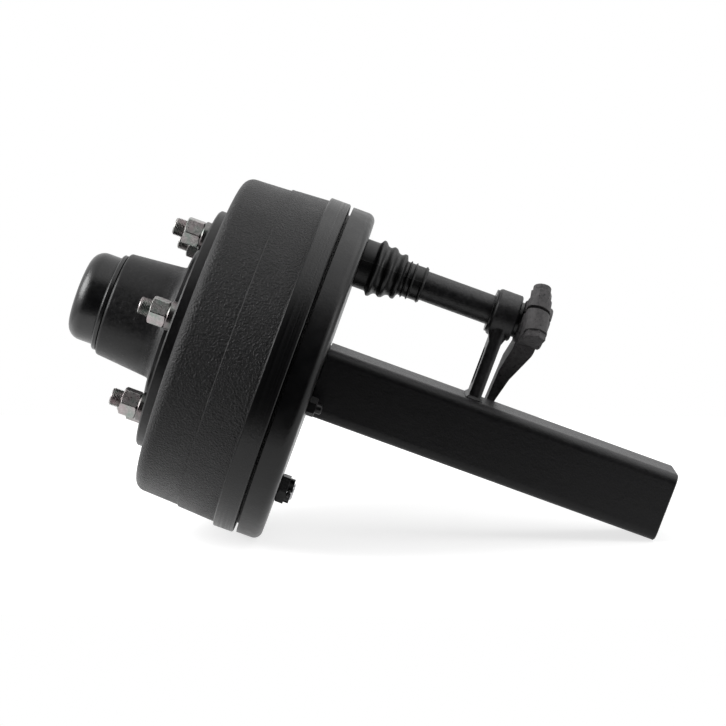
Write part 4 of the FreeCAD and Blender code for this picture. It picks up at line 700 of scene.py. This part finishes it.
floorLook = {"grain": 30.0, "edgeFrom": 0.2, "front": 0.34, "back": 0.8, "beyondBeam": 0.2,
             "beyondHub": 0.75, "drop": 0.0006, "glow": 0.74, "edgeGlow": 0.88,
             "white": (0.50, 0.50, 0.50), "speck": (0.53, 0.53, 0.53)}


def nodeOf(tree, kind, **values):
    # A node with its inputs set by name.
    node = tree.nodes.new(kind)
    for key, value in values.items():
        node.inputs[key].default_value = value
    return node


def rangeOf(tree, output, low, high, toLow, toHigh):
    node = tree.nodes.new("ShaderNodeMapRange")
    node.interpolation_type = "SMOOTHSTEP"
    for key, value in (("From Min", low), ("From Max", high), ("To Min", toLow), ("To Max", toHigh)):
        node.inputs[key].default_value = value
    tree.links.new(output, node.inputs["Value"])
    return node.outputs["Result"]


def mathOf(tree, operation, first, second):
    node = tree.nodes.new("ShaderNodeMath")
    node.operation = operation
    for socket, value in zip(node.inputs, (first, second)):
        if isinstance(value, (int, float)):
            socket.default_value = value
        else:
            tree.links.new(value, socket)
    return node.outputs["Value"]


def backgroundRays(tree):
    # 1 for the rays that look at the background: the eye's own, reflections and glass
    light = tree.nodes.new("ShaderNodeLightPath")
    seen = mathOf(tree, "MAXIMUM", light.outputs["Is Camera Ray"], light.outputs["Is Glossy Ray"])
    return mathOf(tree, "MAXIMUM", seen, light.outputs["Is Transmission Ray"])


def floorFinish():
    # White board. Part of its white is its own glow, so its shadows stay soft, and the glow
    # grows towards the edges, so that the board runs into the background.
    material = bpy.data.materials.new("white_floor")
    material.use_nodes = True
    tree = material.node_tree
    tree.nodes.clear()
    diffuse = tree.nodes.new("ShaderNodeBsdfDiffuse")
    noise = nodeOf(tree, "ShaderNodeTexNoise", Scale=floorLook["grain"])
    ramp = tree.nodes.new("ShaderNodeMix")
    ramp.data_type = "RGBA"
    ramp.inputs["A"].default_value = (*floorLook["white"], 1)
    ramp.inputs["B"].default_value = (*floorLook["speck"], 1)
    tree.links.new(noise.outputs["Fac"], ramp.inputs["Factor"])
    tree.links.new(ramp.outputs["Result"], diffuse.inputs["Color"])
    place = tree.nodes.new("ShaderNodeSeparateXYZ")
    tree.links.new(tree.nodes.new("ShaderNodeTexCoord").outputs["Object"], place.inputs["Vector"])
    aside = mathOf(tree, "ABSOLUTE", place.outputs["X"], 0.0)
    level = rangeOf(tree, aside, floorLook["edgeFrom"], floorLook["front"], floorLook["glow"],
                    floorLook["edgeGlow"])
    glow = tree.nodes.new("ShaderNodeEmission")
    tree.links.new(mathOf(tree, "MULTIPLY", backgroundRays(tree), level), glow.inputs["Strength"])
    both = tree.nodes.new("ShaderNodeAddShader")
    tree.links.new(diffuse.outputs["BSDF"], both.inputs[0])
    tree.links.new(glow.outputs["Emission"], both.inputs[1])
    output = tree.nodes.new("ShaderNodeOutputMaterial")
    tree.links.new(both.outputs["Shader"], output.inputs["Surface"])
    return material


def stagePiece(name, points, faces, material):
    mesh = bpy.data.meshes.new(name)
    mesh.from_pydata([tuple(point) for point in points], [], faces)
    mesh.materials.append(material)
    piece = bpy.data.objects.new(name, mesh)
    bpy.context.scene.collection.objects.link(piece)
    return piece


def layFloor():
    front, back = Vector((-floorLook["front"], 0, 0)), Vector((floorLook["back"], 0, 0))
    near = beamRest - floorAlong * floorLook["beyondBeam"] - floorUp * floorLook["drop"]
    far = drumRest + floorAlong * floorLook["beyondHub"] - floorUp * floorLook["drop"]
    stagePiece("floor", [near + front, near + back, far + back, far + front], [(0, 1, 2, 3)], floorFinish())


layFloor()

# A dark screen stands round the camera, from below the floor to well above the lens. It shows
# only in reflections.
screenLook = {"radius": 2.9, "reach": 44, "low": -1.6, "high": 3.4, "apronFront": 0.36, "apronWide": 0.3,
              "apronLow": 0.25, "shade": 0.012, "uneven": 0.2, "cloth": 12.0, "steps": 24}


def darkScreen():
    material = bpy.data.materials.new("dark_screen")
    material.use_nodes = True
    tree = material.node_tree
    shader = tree.nodes["Principled BSDF"]
    cloth = nodeOf(tree, "ShaderNodeTexNoise", Scale=screenLook["cloth"])
    shade, uneven = screenLook["shade"], screenLook["uneven"]
    tree.links.new(rangeOf(tree, cloth.outputs["Fac"], 0.3, 0.7, shade * (1 - uneven), shade * (1 + uneven)),
                   shader.inputs["Base Color"])
    shader.inputs["Specular IOR Level"].default_value = 0.0
    shader.inputs["Roughness"].default_value = 1.0
    steps, low = screenLook["steps"], screenLook["low"]
    apronLow = low * screenLook["apronLow"]
    points, faces = [], []
    for i in range(steps + 1):
        turn = math.radians(screenLook["reach"] * (2 * i / steps - 1))
        x, y = -math.cos(turn) * screenLook["radius"], math.sin(turn) * screenLook["radius"]
        foot = (-screenLook["apronFront"], y * screenLook["apronWide"], apronLow)
        points += [foot, (x, y, low), (x, y, screenLook["high"])]
        if i:
            first = 3 * i
            faces += [(first - 3, first - 2, first + 1, first), (first - 2, first - 1, first + 2, first + 1)]
    screen = stagePiece("dark_screen", points, faces, material)
    screen.visible_camera = False


darkScreen()

# Softboxes: where each stands, what it points at, how wide and tall it is, and its radiance
softboxes = {
    "overhead": {"at": (0.1, -0.66, 1.7), "aim": (0.1, -0.66, 0), "size": (2.2, 1.42), "radiance": 1.45},
    "left": {"at": (-0.35, 1.2, 0.3), "aim": (0, 0.05, 0), "size": (0.9, 0.8), "radiance": 11.0},
    "right": {"at": (-0.6, -2.0, 1.1), "aim": (0, -0.15, 0), "size": (0.8, 1.2), "radiance": 3.5},
}
for name, look in softboxes.items():
    lamp = bpy.data.lights.new(name + "_softbox", "AREA")
    lamp.shape = "RECTANGLE"
    lamp.size, lamp.size_y = look["size"]
    lamp.energy = look["radiance"] * math.pi * look["size"][0] * look["size"][1]
    holder = bpy.data.objects.new(lamp.name, lamp)
    holder.location = look["at"]
    holder.rotation_mode = "QUATERNION"
    holder.rotation_quaternion = (Vector(look["aim"]) - Vector(look["at"])).to_track_quat("-Z", "Y")
    holder.visible_camera = False
    bpy.context.scene.collection.objects.link(holder)

roomLook = {"white": 1.0, "ambient": 0.25}


def lightRoom():
    # The background is white, and the room around it gives a weaker even light.
    world = bpy.data.worlds.new("room")
    bpy.context.scene.world = world
    world.use_nodes = True
    tree = world.node_tree
    background = tree.nodes["Background"]
    strength = rangeOf(tree, backgroundRays(tree), 0.0, 1.0, roomLook["ambient"], roomLook["white"])
    tree.links.new(strength, background.inputs["Strength"])
    background.inputs["Color"].default_value = (1, 1, 1, 1)


lightRoom()
bpy.context.scene.view_settings.view_transform = "Standard"

# The camera stands in front of the object and a little above it, and is rolled so that the
# axle falls to the right.
cameraLook = {"at": (-2.0702, -0.1613, 0.2923), "turn": (82.304, -19.833, -88.018), "lens": 103.607}
camera = bpy.data.objects.new("camera", bpy.data.cameras.new("camera"))
camera.data.sensor_width = 36.0
camera.data.lens = cameraLook["lens"]
camera.location = cameraLook["at"]
camera.rotation_euler = Euler([math.radians(angle) for angle in cameraLook["turn"]], "XYZ")
bpy.context.scene.collection.objects.link(camera)
bpy.context.scene.camera = camera
print("floor, lights and camera done")
